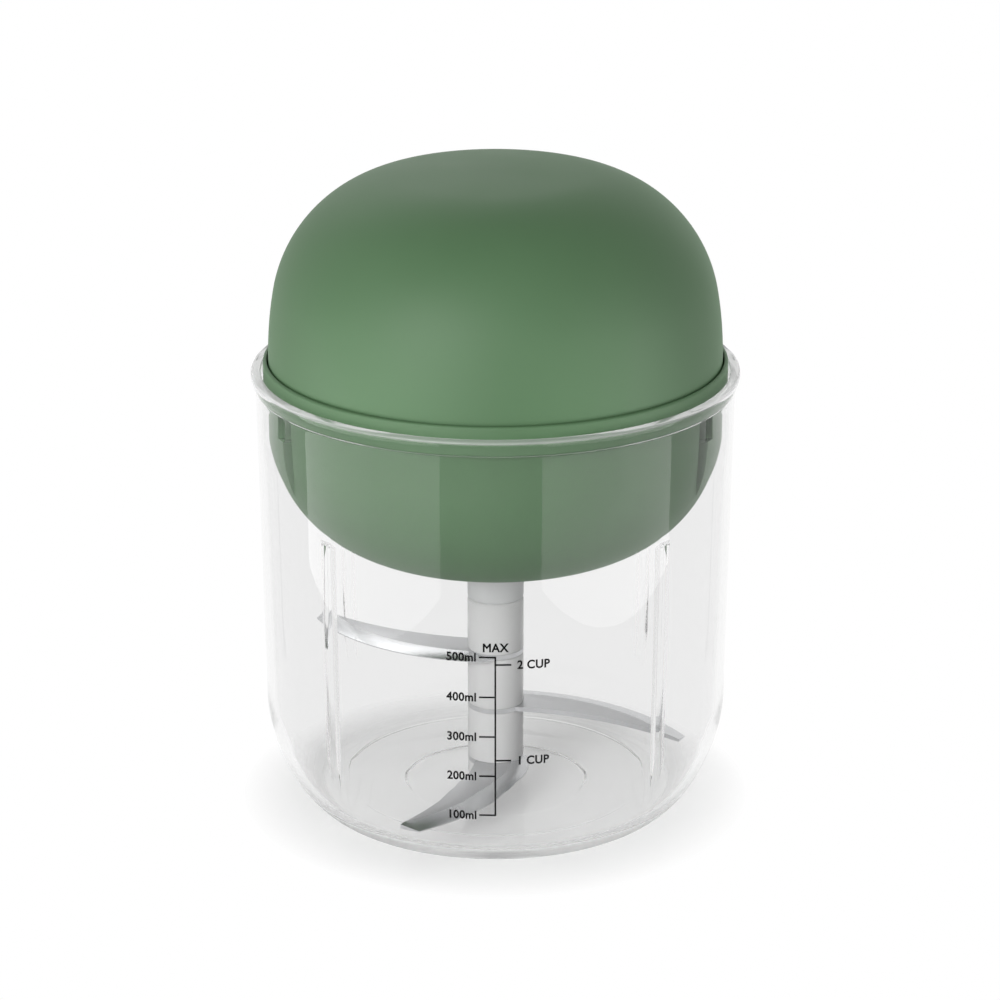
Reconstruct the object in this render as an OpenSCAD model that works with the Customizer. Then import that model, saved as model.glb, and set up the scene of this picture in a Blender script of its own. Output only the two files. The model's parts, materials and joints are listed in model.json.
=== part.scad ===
// Cordless food chopper: a clear cup with a three-level blade column, and a motor head that is pressed down to run it.
// The frame stands on the table: the origin is the centre of the cup's foot, Z is up and the front faces -Y.

/* [Cup] */
// Outer radius of the cup wall just under its rim
cup_r = 58.5; // [57:0.5:62]
// Height of the cup up to the top of its rim
cup_h = 112; // [108:0.5:118]
// Thickness of the cup wall
cup_wall = 2.1; // [1.6:0.1:2.6]
// Height of the inner floor above the table
cup_floor = 3.9; // [3.4:0.1:4.6]
// How much the outer radius narrows from the rim down to the rounded corner
cup_draft = 1.2; // [0.4:0.1:2]
// Radius of the flat ring that the cup stands on
foot_r = 43; // [40:0.5:45]
// Height of the rounded lower corner
corner_h = 26; // [22:0.5:28]
// How full the rounded corner is, 2 for an ellipse and 1 for a straight cone
corner_full = 1.6; // [1.4:0.1:2]
// Radius of the shallow recess under the floor
recess_r = 23.3; // [15:0.5:35]
// Depth of the shallow recess under the floor
recess_d = 0.6; // [0.6:0.1:1.4]
// Radius of the sunk disc in the inner floor
floor_step_r = 37.8; // [30:0.5:40]
// Depth of the sunk disc in the inner floor
floor_step = 0.5; // [0.2:0.1:0.6]
// Height of the thick band round the rim
rim_h = 4.5; // [3:0.5:8]
// How far the rim band stands out from the wall
rim_proud = 1.1; // [0.5:0.1:1.5]
// Thickness of the rim band above the head's seat
rim_wall = 2.4; // [1.8:0.1:2.6]
// Depth of the head's seat below the top of the rim
seat_d = 4.2; // [2.5:0.1:4.5]
// Width of the ledge that the head sits on
ledge_w = 2; // [1.5:0.1:2.5]
// Width of each upright rib inside the wall
rib_w = 3; // [2:0.25:5]
// How far each upright rib stands in from the wall
rib_proud = 2; // [1:0.25:2.5]
// Height of the lower end of the ribs
rib_z0 = 14; // [12:1:18]
// Height of the upper end of the ribs
rib_z1 = 81; // [60:1:90]
// Width of each locating lug under the ledge
lug_w = 4; // [3:0.5:6]
// Height of each locating lug
lug_h = 6.5; // [4:0.5:9]
// How far each locating lug reaches in from the ledge
lug_reach = 2.4; // [1.5:0.1:2.6]

/* [Blades] */
// Radius of the pivot pin in the cup floor
pin_r = 2.5; // [2:0.1:3]
// Outer radius of the blade column
column_r = 7; // [6.4:0.1:8]
// Radius of the core tube inside the column
core_r = 4.25; // [4:0.05:4.6]
// Wall of the core tube
core_wall = 0.95; // [0.8:0.05:1.1]
// Height of the lowest collar, under the lower blade
hub_base_h = 3.3; // [2.5:0.1:4]
// Distance from one blade level to the next
blade_pitch = 14.7; // [13:0.1:15]
// Thickness of a blade
blade_t = 1.2; // [0.8:0.1:1.6]
// Thickness left at the cutting edge
blade_edge = 0.25; // [0.1:0.05:0.4]
// Width of the ground bevel
bevel_w = 4.5; // [2:0.25:6]
// Radius swept by the tips of the upper and middle blades
blade_tip_r = 51; // [44:0.5:52]
// Radius swept by the tip of the lower blade, which runs in the rounded corner
low_tip_r = 48; // [42:0.5:48.5]
// Radius of the convex cutting edge
lead_r = 52.5; // [50:0.5:56]
// Radius of the hollow trailing edge
trail_r = 71; // [66:0.5:76]
// Radius of the coupler's collar
collar_r = 8; // [7.4:0.1:8.4]

/* [Head] */
// Depth of the lower housing below the cup's seat
bowl_depth = 42.7; // [41:0.1:44]
// Wall thickness of the lower housing
bowl_wall = 2.2; // [1.8:0.1:2.6]
// Radius of the lower housing's rounded shoulder
bowl_shoulder_r = 30; // [26:0.5:32]
// Thickness of the flange that sits on the cup
flange_t = 2.2; // [1.8:0.1:2.6]
// Height of the ring above the seat
ring_h = 6.9; // [6:0.1:9]
// Thickness of the lip round the foot of the dome
lip_t = 0.95; // [0.8:0.05:1.2]
// Thickness of the inner chassis plate
chassis_t = 2; // [1.6:0.1:2.6]

/* [Dome] */
// Height of the dome above the ring
dome_h = 46.65; // [45:0.5:56]
// Wall thickness of the dome
dome_wall = 2.2; // [1.8:0.1:2.6]
// Radius of the gently curved side of the dome
dome_side_r = 95; // [85:1:120]
// Radius of the dome's shoulder
dome_shoulder_r = 35; // [32:0.5:36]
// Radius of the nearly flat crown
dome_crown_r = 220; // [180:5:300]
// How far the dome goes down when it is pressed
press_travel = 2; // [1:0.1:2.4]
// Distance of the guide posts from the axis
guide_at = 40; // [38:0.5:42]
// Radius of the guide pegs that slide in the chassis
peg_r = 3; // [2.6:0.1:3.4]
// Wire radius of the return springs
wire_r = 0.4; // [0.3:0.05:0.5]
// Turns of each return spring
spring_turns = 5; // [4:1:7]

/* [Drive] */
// Radius of the output shaft
shaft_r = 3; // [2.8:0.1:3.2]
// Corner radius of the six-sided drive dog
dog_r = 4.6; // [4.3:0.1:4.8]
// Outer radius of the output bearing
bearing_r = 7.5; // [7:0.25:8]
// Height of the output bearing
bearing_h = 5; // [4:0.5:6]
// Height of the shaft seal
seal_h = 3; // [2.5:0.25:4]
// Gear module, pitch diameter over teeth
gear_m = 0.7; // [0.65:0.01:0.72]
// Teeth on the sun gear
sun_teeth = 12; // [12:12:12]
// Teeth on each planet gear
planet_teeth = 18; // [18:18:18]
// Pressure angle of the teeth
gear_pa = 25; // [22:0.5:26]
// Width of the planet gears
gear_h = 6; // [5:0.5:7]
// Wall of the gear case outside the ring teeth
case_wall = 2; // [1.6:0.1:2.4]
// Thickness of the planet carrier
carrier_t = 2.2; // [1.8:0.1:2.8]
// Radius of the planet pins
planet_pin_r = 1.5; // [1.2:0.1:1.8]

/* [Motor and cells] */
// Radius of the motor can
motor_r = 14; // [12:0.5:15]
// Length of the motor can
motor_l = 36; // [30:0.5:38]
// Radius of the motor shaft
motor_shaft_r = 1.15; // [1:0.05:1.5]
// Radius of a battery cell
cell_r = 9.2; // [8.6:0.1:9.4]
// Length of a battery cell
cell_l = 65; // [60:0.5:66]
// Wall of the battery sleeves
sleeve_wall = 1; // [0.8:0.1:1.2]

/* [Switch and charging] */
// Width of the circuit board
board_w = 34; // [30:0.5:36]
// Depth of the circuit board
board_d = 26; // [24:0.5:26]
// Thickness of the circuit board
board_t = 1.6; // [1:0.1:2]
// Height of the circuit board above the chassis
board_up = 9.5; // [9:0.5:11]
// Width of the charging port
port_w = 8.94; // [8.5:0.01:9.5]
// Height of the charging port
port_h = 3.26; // [3:0.01:3.4]
// Depth of the charging port
port_d = 7.35; // [6.5:0.05:8]
// Width of the slot for the port in the dome
slot_w = 13; // [12:0.5:16]
// Distance of the switch from the axis, towards the front
switch_at = 30; // [26:0.5:34]

/* [Fits] */
// Gap between pieces of one body that seat in each other
fit_gap = 0.05; // [0.03:0.01:0.08]
// Radial running gap of shafts and pins in their bores
run_gap = 0.05; // [0.03:0.01:0.08]
// Gap between faces that slide past each other
slide_gap = 0.35; // [0.3:0.05:0.5]
// Gap between the head's flange and the rim
ring_gap = 0.6; // [0.4:0.05:0.8]
// Gap between the lower housing and the cup's ledge
bowl_gap = 0.8; // [0.5:0.05:1]
// Backlash between meshing gears
backlash = 0.12; // [0.08:0.02:0.2]

/* [Hidden] */
$fn = 96;
// Overcut that keeps cutting tools clear of the faces they pass through
eps = 0.5;
// Green of the head's mouldings
green = [0.37, 0.49, 0.37];

// Cup
rim_r = cup_r + rim_proud;
rim_z = cup_h - rim_h;
rim_round = 0.5;
rim_steps = 8;
rebate_r = rim_r - rim_wall;
seat_z = cup_h - seat_d;
ledge_r = rebate_r - ledge_w;
ledge_t = 1.5;
ledge_blend = 11;
rib_foot = 1;
corner_r = cup_r - cup_draft;
corner_in_r = corner_r - cup_wall;
corner_in_h = corner_h + 1.5;
corner_in_foot = foot_r + 1;
corner_steps = 10;
boss_r = column_r - 0.6;
boss_z = cup_floor + 0.9;
pin_z = recess_d + 0.7;
lug_turns = [63, 117, 243, 297];
rib_turns = [45, 135, 225, 315];

// Blade column, from the floor up
hub_gap = 0.2;
hub_z = boss_z + hub_gap;
low_z = hub_z + hub_base_h;
mid_z = low_z + blade_pitch;
top_z = mid_z + blade_pitch;
coupler_z = top_z + blade_pitch;
spacer_h = blade_pitch - blade_t;
core_top = coupler_z + 3;
core_bore_top = coupler_z - 4;
bush_h = 6;
bush_in_r = pin_r + run_gap;
bush_out_r = core_r - core_wall - fit_gap;
pin_top = core_bore_top - hub_gap;
lead_c = [-1.5, -43.5];
trail_c = [-5.3, -75.3];
blade_root_r = column_r + 0.6;
column_chamfer = 0.7;

// Head, from the seat down and up
ring_r = rebate_r - ring_gap;
lip_in_r = ring_r - lip_t;
bowl_r = ledge_r - bowl_gap;
bowl_in_r = bowl_r - bowl_wall;
bowl_z = seat_z - bowl_depth;
bowl_shoulder_z = bowl_z + bowl_shoulder_r + 1.9;
flange_z = seat_z + flange_t;
ring_top = seat_z + ring_h;
lip_round = 0.6;
groove_r = ledge_r - lug_reach - 0.5;
groove_w = lug_w + 1;
pad_t = 2;

// Drive line, from the housing's bottom up
socket_r = collar_r + 1;
socket_top = bowl_z + 5.4;
seal_z = socket_top + 1.5;
seal_r = bearing_r - 0.5;
bearing_z = seal_z + seal_h;
case_z = bearing_z + bearing_h;
turret_r = bearing_r + 3;
web_hole_r = shaft_r + 0.5;
case_floor = 1.8;
carrier_z = case_z + case_floor + 0.4;
gear_z = carrier_z + carrier_t + 0.6;
cover_z = gear_z + gear_h + 0.6;
cover_t = 2;
motor_z = cover_z + cover_t;
coupler_top = socket_top - 1.5;
coupler_socket_z = core_top + 2;
dog_gap = 0.35;
dog_z = coupler_socket_z + 1;
dog_top = socket_top - 0.3;
dog_bore_z = dog_z + 2.5;

// Gears
ring_teeth = sun_teeth + 2 * planet_teeth;
gear_add = 0.8 * gear_m;
gear_ded = 1.05 * gear_m;
planet_at = gear_m * (sun_teeth + planet_teeth) / 2;
ring_pitch_r = gear_m * ring_teeth / 2;
case_r = ring_pitch_r + gear_ded + case_wall;
carrier_r = planet_at + planet_pin_r + 2.5;
flank_steps = 3;
planet_turns = [0, 120, 240];

// Screws and posts
screw_r = 1.2;
screw_head_r = 2.5;
screw_head_h = 1.6;
screw_spare = 1;
case_screw_in = 6;
chassis_screw_in = 9;
board_screw_in = 4;
dome_screw_in = 11;
post_r = 3.4;
case_ear_at = case_r + post_r - 1.2;
ear_turns = [45, 135, 225, 315];
side_turns = [0, 180];
chassis_post_at = bowl_in_r - 5.7;
chassis_turns = [60, 120, 240, 300];
chassis_z = seat_z - 0.8;
chassis_top = chassis_z + chassis_t;
chassis_r = bowl_in_r - 0.4;

// Motor
can_wall = 1;
can_floor = 1.4;
motor_bush_r = 3;
motor_bush_h = 4;
motor_top = motor_z + motor_l;
end_cap_h = 3.4;
magnet_t = 2;
armature_r = motor_r - can_wall - magnet_t - 0.6;
armature_low = 7;
armature_high = 9;
armature_z = motor_z + armature_low;
armature_l = motor_l - armature_low - armature_high;
pole_turns = [60, 180, 300];
pole_slot = 2.2;
commutator_r = 4;
commutator_gap = 1;
motor_screw_at = 8;
motor_screw_r = 1.2;
motor_screw_head_h = 1;
motor_screw_in = 1.5;
motor_screw_turns = [60, 240];

// Battery
sleeve_r = cell_r + 0.15 + sleeve_wall;
sleeve_z = case_z - 2;
sleeve_floor = 1.5;
cell_z = sleeve_z + sleeve_floor;
cell_at = (case_r + bowl_in_at(sleeve_z)) / 2;
sleeve_flange_r = sleeve_r + 2;
sleeve_flange_t = 1.5;

// Dome
dome_top = ring_top + dome_h;
dome_r = lip_in_r - slide_gap;
dome_foot = flange_z + press_travel + 0.4;
dome_a = [dome_r - dome_side_r, ring_top];
dome_c = [0, dome_top - dome_crown_r];
dome_s = circles_meet(dome_a, dome_side_r - dome_shoulder_r, dome_c, dome_crown_r - dome_shoulder_r);
dome_a_turn = atan2(dome_s[1] - dome_a[1], dome_s[0] - dome_a[0]);
dome_c_turn = atan2(dome_s[1] - dome_c[1], dome_s[0] - dome_c[0]);
guide_turns = [45, 135, 225, 315];
post_collar_r = peg_r + 1.6;
spring_h = 12;
collar_z = chassis_top + spring_h;
peg_z = chassis_z - 0.1;
dome_screw_head_h = 1.7;

// Return spring
spring_r = peg_r + 1.05;
spring_steps = 8;
spring_sides = 6;

// Charging and switch
port_face = dome_r - dome_wall - 0.8;
port_overhang = 4.3;
board_z = chassis_top + board_up;
board_back = port_face - port_overhang;
board_y = board_back - board_d;
board_edge = 3;
board_hole_x = board_w / 2 - board_edge;
board_hole_y = [board_y + board_edge, board_back - board_edge - 1];
standoff_r = 2.6;
port_z = board_z + board_t;
slot_z0 = port_z - 2.6;
slot_z1 = port_z + port_h + press_travel + 0.8;
slot_round = 2;
flap_gap = 0.3;
flap_t = dome_wall - 0.7;
switch_w = 12.8;
switch_d = 5.8;
switch_h = 6.5;
plunger_w = 2.8;
plunger_d = 1.4;
plunger_up = press_travel;
plunger_in = 2.3;
plunger_gap = 0.15;
switch_top = chassis_top + switch_h;
presser_r = 2.2;
presser_gap = 0.4;

// Points of an arc about c from angle a0 to a1, without its first point where skip is 1
function arc_pts(c, r, a0, a1, n, skip = 0) = [
    for (i = [skip:n])
        let (a = a0 + (a1 - a0) * i / n)
        [c[0] + r * cos(a), c[1] + r * sin(a)]
];

// Points of the rounded corner, a quarter of a superellipse that starts below c and ends beside it
function corner_pts(c, a, b) = [
    for (i = [0:corner_steps])
        let (t = 90 * i / corner_steps, power = 2 / corner_full)
        [c[0] + a * pow(sin(t), power), c[1] - b * pow(cos(t), power)]
];

// Right-hand point where a circle about p and a circle about q meet
function circles_meet(p, rp, q, rq) =
    let (
        d = norm(q - p),
        x = (d * d + rp * rp - rq * rq) / (2 * d),
        y = sqrt(rp * rp - x * x),
        u = (q - p) / d,
        side = [-u[1], u[0]],
        one = p + x * u + y * side,
        two = p + x * u - y * side
    )
    one[0] > two[0] ? one : two;

// Outer and inner radius of the cup wall above its corner
function cup_out_at(z) = cup_r - cup_draft * (rim_z - z) / (rim_z - corner_h);
function cup_in_at(z) = cup_out_at(z) - cup_wall;

// Radius of the crown that closes the lower housing, tangent to its shoulder
function bowl_crown_r() =
    let (a = bowl_r - bowl_shoulder_r, d = bowl_shoulder_z - bowl_z)
    (a * a + d * d - bowl_shoulder_r * bowl_shoulder_r) / (2 * (d - bowl_shoulder_r));

// Inner radius of the lower housing at a height on its shoulder
function bowl_in_at(z) =
    let (r = bowl_shoulder_r - bowl_wall, d = bowl_shoulder_z - z)
    bowl_r - bowl_shoulder_r + sqrt(r * r - d * d);

// Outline of the lower housing's bowl, moved in by d, from its lowest point to its upright wall
function bowl_pts(d) =
    let (
        crown = bowl_crown_r(),
        c = [0, bowl_z + crown],
        s = [bowl_r - bowl_shoulder_r, bowl_shoulder_z],
        turn = atan2(s[1] - c[1], s[0] - c[0])
    )
    concat(arc_pts(c, crown - d, -90, turn, 4), arc_pts(s, bowl_shoulder_r - d, turn, 0, 12, 1));

// Outline of the dome, moved in by d, from its foot up to its crown
function dome_pts(d, foot) = concat(
    [[0, foot], [dome_r - d, foot]],
    arc_pts(dome_a, dome_side_r - d, 0, dome_a_turn, 5),
    arc_pts(dome_s, dome_shoulder_r - d, dome_a_turn, dome_c_turn, 10, 1),
    arc_pts(dome_c, dome_crown_r - d, dome_c_turn, 90, 4, 1)
);

// Involute gear: base radius, half the angle of a tooth at radius r, and the whole outline
function base_r(teeth) = gear_m * teeth / 2 * cos(gear_pa);
function involute(a) = tan(a) * 180 / PI - a;
function half_tooth(r, teeth, widen) =
    90 / teeth + widen / (gear_m * teeth) * 180 / PI
    + involute(gear_pa) - involute(acos(min(1, base_r(teeth) / r)));
function gear_pts(teeth, root_r, tip_r, widen) = [
    for (i = [0:teeth - 1])
        for (k = [0:2 * flank_steps + 1])
            let (
                rising = k <= flank_steps,
                up = rising ? k : 2 * flank_steps + 1 - k,
                r = root_r + (tip_r - root_r) * up / flank_steps,
                half = half_tooth(max(r, base_r(teeth)), teeth, widen),
                a = i * 360 / teeth + (rising ? -half : half)
            )
            [r * cos(a), r * sin(a)]
];

// Centre line and rings of a return spring that stands on z = 0
function spring_rise(i) =
    let (clear = wire_r + fit_gap, n = spring_turns * spring_steps)
    clear + (spring_h - 2 * clear) * i / n;
function spring_mid(i) =
    let (a = 360 * i / spring_steps)
    [spring_r * cos(a), spring_r * sin(a), spring_rise(i)];
function spring_pts() = [
    for (i = [0:spring_turns * spring_steps])
        for (k = [0:spring_sides - 1])
            let (
                a = 360 * i / spring_steps,
                b = 360 * k / spring_sides,
                r = spring_r + wire_r * cos(b)
            )
            [r * cos(a), r * sin(a), spring_rise(i) + wire_r * sin(b)]
];
function spring_faces() =
    let (n = spring_turns * spring_steps, m = spring_sides)
    concat(
        [for (k = [1:m - 2]) [0, k + 1, k]],
        [for (i = [0:n - 1]) for (k = [0:m - 1]) [i * m + k, i * m + (k + 1) % m, (i + 1) * m + k]],
        [for (i = [0:n - 1]) for (k = [0:m - 1])
            [i * m + (k + 1) % m, (i + 1) * m + (k + 1) % m, (i + 1) * m + k]],
        [for (k = [1:m - 2]) [n * m, n * m + k, n * m + k + 1]]
    );
spring_gap = min([
    for (i = [0:spring_turns * spring_steps - spring_steps])
        norm(spring_mid(i + spring_steps) - spring_mid(i)) - 2 * wire_r
]);
echo(least_spring_gap = spring_gap);

// Copies of a shape at the given turns about the axis, at a distance from it
module around(turns, at) {
    for (t = turns)
        rotate([0, 0, t]) translate([at, 0, 0]) children();
}

// Copies that count their turn from the front
module from_front(turns) {
    for (t = turns)
        rotate([0, 0, t - 90]) children();
}

// Ring that stands on z
module ring(z, h, r_out, r_in) {
    translate([0, 0, z]) difference() {
        cylinder(h = h, r = r_out);
        translate([0, 0, -eps]) cylinder(h = h + 2 * eps, r = r_in);
    }
}

// Flat outline with round corners, centred
module round_rect(w, h, r) {
    square([w, h - 2 * r], center = true);
    square([w - 2 * r, h], center = true);
    for (x = [-1, 1])
        for (y = [-1, 1])
            translate([x * (w / 2 - r), y * (h / 2 - r)]) circle(r);
}

// Pan head screw, head up, with its head resting on z = 0
module pan_screw(length) {
    translate([0, 0, -length]) cylinder(h = length, r = screw_r);
    difference() {
        union() {
            cylinder(h = screw_head_h * 0.6, r = screw_head_r);
            translate([0, 0, screw_head_h * 0.6])
                cylinder(h = screw_head_h * 0.4, r1 = screw_head_r, r2 = screw_head_r * 0.75);
        }
        for (t = [0, 90])
            rotate([0, 0, t]) translate([0, 0, screw_head_h])
                cube([screw_head_r * 1.2, 0.6, screw_head_h], center = true);
    }
}

// Hole for the part of a screw that goes in below z
module screw_hole(z, screw_in) {
    deep = screw_in + screw_spare;
    translate([0, 0, z - deep]) cylinder(h = deep + eps, r = screw_r + fit_gap);
}

// Cup

// Outline of the band that swells out softly under the rim
function flare_pts() = [
    for (i = [0:rim_steps])
        let (t = i / rim_steps)
            [cup_r + rim_proud * (1 - cos(180 * t)) / 2, rim_z + (rim_h - 2 * rim_round) * t]
];

function cup_pts() = concat(
    [[0, recess_d], [recess_r - recess_d, recess_d], [recess_r, 0]],
    corner_pts([foot_r, corner_h], corner_r - foot_r, corner_h),
    flare_pts(),
    arc_pts([rim_r - rim_round, cup_h - rim_round], rim_round, 0, 90, 4),
    [[rebate_r, cup_h], [rebate_r, seat_z], [ledge_r, seat_z], [ledge_r, seat_z - ledge_t]],
    [let (z = seat_z - ledge_t - ledge_blend) [cup_in_at(z), z]]
);
function cup_in_pts() =
    let (
        c = [corner_in_foot, corner_in_h],
        corner = corner_pts(c, corner_in_r - corner_in_foot, corner_in_h - cup_floor)
    )
    concat(
        [for (i = [corner_steps:-1:0]) corner[i]],
        [[floor_step_r, cup_floor], [floor_step_r, cup_floor - floor_step]],
        [[boss_r, cup_floor - floor_step], [boss_r, boss_z], [0, boss_z]]
    );

module rib() {
    low = cup_in_at(corner_h);
    high = cup_in_at(rib_z1);
    sunk = cup_wall / 2;
    translate([0, rib_w / 2, 0]) rotate([90, 0, 0]) linear_extrude(rib_w)
        polygon([
            [low - rib_proud, rib_z0],
            [low - rib_proud + rib_foot, rib_z0],
            [low + sunk, corner_h],
            [high + sunk, rib_z1],
            [high, rib_z1],
            [high - rib_proud, rib_z1 - rib_proud]
        ]);
}

module lug() {
    low = seat_z - lug_h;
    root = cup_in_at(low) + cup_wall / 2;
    translate([ledge_r - lug_reach, -lug_w / 2, low])
        cube([root - ledge_r + lug_reach, lug_w, lug_h]);
}

module cup() {
    color([0.88, 0.93, 0.95, 0.35]) difference() {
        union() {
            rotate_extrude() polygon(concat(cup_pts(), cup_in_pts()));
            for (t = rib_turns)
                rotate([0, 0, t]) rib();
            from_front(lug_turns) lug();
        }
        translate([0, 0, pin_z]) cylinder(h = boss_z, r = pin_r + fit_gap);
    }
}

module pivot_pin() {
    tip = 1;
    color("silver") {
        translate([0, 0, pin_z]) cylinder(h = pin_top - tip - pin_z, r = pin_r);
        translate([0, 0, pin_top - tip]) cylinder(h = tip, r1 = pin_r, r2 = pin_r - tip);
    }
}

// Blade column

// Collar of the column between two levels, with softened edges
module column_collar(z, h) {
    c = column_chamfer;
    bore = core_r + fit_gap;
    translate([0, 0, z]) rotate_extrude() polygon([
        [bore, 0], [column_r - c, 0], [column_r, c], [column_r, h - c], [column_r - c, h], [bore, h]
    ]);
}

module hub_core() {
    color([0.9, 0.92, 0.92]) difference() {
        translate([0, 0, hub_z]) cylinder(h = core_top - hub_z, r = core_r);
        translate([0, 0, hub_z - eps]) cylinder(h = core_bore_top - hub_z + eps, r = core_r - core_wall);
    }
}

module pivot_bushes() {
    color("goldenrod")
        for (z = [hub_z, core_bore_top - bush_h - 1])
            ring(z, bush_h, bush_out_r, bush_in_r);
}

module hub_base() {
    color([0.85, 0.88, 0.88]) column_collar(hub_z, hub_base_h);
}

module spacer_lower() {
    color([0.85, 0.88, 0.88]) column_collar(low_z + blade_t, spacer_h);
}

module spacer_middle() {
    color([0.85, 0.88, 0.88]) column_collar(mid_z + blade_t, spacer_h);
}

module spacer_upper() {
    color([0.85, 0.88, 0.88]) column_collar(top_z + blade_t, spacer_h);
}

// Plan of a sickle blade that points along +X and sweeps back towards -Y
module blade_plan(tip_r) {
    reach = 2 * tip_r;
    difference() {
        intersection() {
            translate(lead_c) circle(lead_r);
            circle(tip_r);
            polygon([[0, -reach], [reach, -reach], [reach, reach / 2], [0, blade_root_r]]);
        }
        translate(trail_c) circle(trail_r);
    }
}

// Blade on z = 0, ground to an edge along its convex side
module blade(tip_r) {
    slope = (blade_t - blade_edge) / bevel_w;
    over = 3;
    difference() {
        union() {
            difference() {
                linear_extrude(blade_t) blade_plan(tip_r);
                translate([lead_c[0], lead_c[1], 0]) rotate_extrude() polygon([
                    [lead_r - bevel_w, blade_t],
                    [lead_r + over, blade_edge - slope * over],
                    [lead_r + over, blade_t + eps],
                    [lead_r - bevel_w, blade_t + eps]
                ]);
            }
            cylinder(h = blade_t, r = blade_root_r - 0.6);
        }
        translate([0, 0, -eps]) cylinder(h = blade_t + 2 * eps, r = core_r + fit_gap);
    }
}

module blade_lower() {
    color("silver") translate([0, 0, low_z]) rotate([0, 0, 270]) blade(low_tip_r);
}

module blade_middle() {
    color("silver") translate([0, 0, mid_z]) blade(blade_tip_r);
}

module blade_upper() {
    color("silver") translate([0, 0, top_z]) rotate([0, 0, 180]) blade(blade_tip_r);
}

module drive_coupler() {
    c = 0.6;
    color([0.6, 0.62, 0.62]) difference() {
        translate([0, 0, coupler_z]) rotate_extrude() polygon([
            [0, 0],
            [column_r - column_chamfer, 0],
            [column_r, column_chamfer],
            [column_r, 4],
            [collar_r, 7],
            [collar_r, coupler_top - coupler_z - c],
            [collar_r - c, coupler_top - coupler_z],
            [0, coupler_top - coupler_z]
        ]);
        translate([0, 0, coupler_z - eps])
            cylinder(h = core_top - coupler_z + fit_gap + eps, r = core_r + fit_gap);
        translate([0, 0, coupler_socket_z])
            cylinder(h = coupler_top - coupler_socket_z + eps, r = dog_r + dog_gap, $fn = 6);
    }
}

// Lower housing of the head

module bowl_solid() {
    rotate_extrude() polygon(concat(
        bowl_pts(0),
        [[bowl_r, seat_z], [ring_r, seat_z]],
        arc_pts([ring_r - lip_round, ring_top - lip_round], lip_round, 0, 90, 4),
        [[0, ring_top]]
    ));
}

module bowl_hollow() {
    rotate_extrude() polygon(concat(
        bowl_pts(bowl_wall),
        [[bowl_in_r, flange_z], [lip_in_r, flange_z], [lip_in_r, ring_top + eps], [0, ring_top + eps]]
    ));
}

// Upright post that grows out of the housing's floor or wall
module bowl_post(r, top) {
    translate([0, 0, bowl_z]) cylinder(h = top - bowl_z, r = r);
}

module lower_housing() {
    pad_w = groove_w + 2 * bowl_wall;
    color(green) difference() {
        union() {
            difference() {
                bowl_solid();
                bowl_hollow();
            }
            intersection() {
                bowl_solid();
                union() {
                    bowl_post(turret_r, case_z);
                    around(ear_turns, case_ear_at) bowl_post(post_r, case_z);
                    around(chassis_turns, chassis_post_at) bowl_post(post_r, chassis_z);
                    from_front(lug_turns)
                        translate([groove_r - pad_t, -pad_w / 2, bowl_z])
                            cube([bowl_r - groove_r, pad_w, chassis_z - 1 - bowl_z]);
                }
            }
        }
        from_front(lug_turns)
            translate([groove_r, -groove_w / 2, bowl_z])
                cube([bowl_r, groove_w, seat_z - bowl_z]);
        translate([0, 0, bowl_z - eps]) cylinder(h = socket_top - bowl_z + eps, r = socket_r);
        translate([0, 0, bowl_z]) cylinder(h = case_z, r = web_hole_r);
        translate([0, 0, seal_z]) cylinder(h = case_z, r = seal_r);
        translate([0, 0, bearing_z]) cylinder(h = case_z, r = bearing_r);
        around(ear_turns, case_ear_at) screw_hole(case_z, case_screw_in);
        around(chassis_turns, chassis_post_at) screw_hole(chassis_z, chassis_screw_in);
    }
}

// Drive line

module shaft_seal() {
    inner = shaft_r + run_gap;
    outer = seal_r - fit_gap;
    color([0.2, 0.2, 0.2]) translate([0, 0, seal_z]) rotate_extrude() polygon([
        [inner + 0.7, 0], [outer, 0], [outer, seal_h], [outer - 1, seal_h], [outer - 1.3, 1],
        [inner + 1.2, 1], [inner + 0.7, seal_h - 0.4], [inner, seal_h - 0.7], [inner, seal_h - 1]
    ]);
}

module output_bearing() {
    inner = shaft_r + run_gap;
    outer = bearing_r - fit_gap;
    race = 1.1;
    shield = 0.3;
    color("gainsboro") translate([0, 0, bearing_z]) rotate_extrude() polygon([
        [inner, 0], [inner + race, 0], [inner + race, shield], [outer - race, shield], [outer - race, 0],
        [outer, 0], [outer, bearing_h], [outer - race, bearing_h], [outer - race, bearing_h - shield],
        [inner + race, bearing_h - shield], [inner + race, bearing_h], [inner, bearing_h]
    ]);
}

module ear_holes(z, h) {
    around(ear_turns, case_ear_at)
        translate([0, 0, z - eps]) cylinder(h = h + 2 * eps, r = screw_r + 0.2);
}

// Gear case with the internal ring teeth
module gear_case() {
    h = cover_z - case_z;
    teeth_z = gear_z - 0.2;
    color([0.25, 0.26, 0.28]) difference() {
        union() {
            translate([0, 0, case_z]) cylinder(h = h, r = case_r);
            around(ear_turns, case_ear_at)
                translate([0, 0, case_z]) cylinder(h = h, r = post_r);
        }
        translate([0, 0, case_z - eps]) cylinder(h = h, r = shaft_r + 2);
        translate([0, 0, case_z + case_floor])
            cylinder(h = teeth_z - case_z - case_floor + eps, r = ring_pitch_r - gear_add);
        translate([0, 0, teeth_z]) rotate([0, 0, 180 / ring_teeth])
            linear_extrude(cover_z - teeth_z + eps)
                polygon(gear_pts(ring_teeth, ring_pitch_r - gear_add, ring_pitch_r + gear_ded, backlash / 2));
        ear_holes(case_z, h);
    }
}

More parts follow.
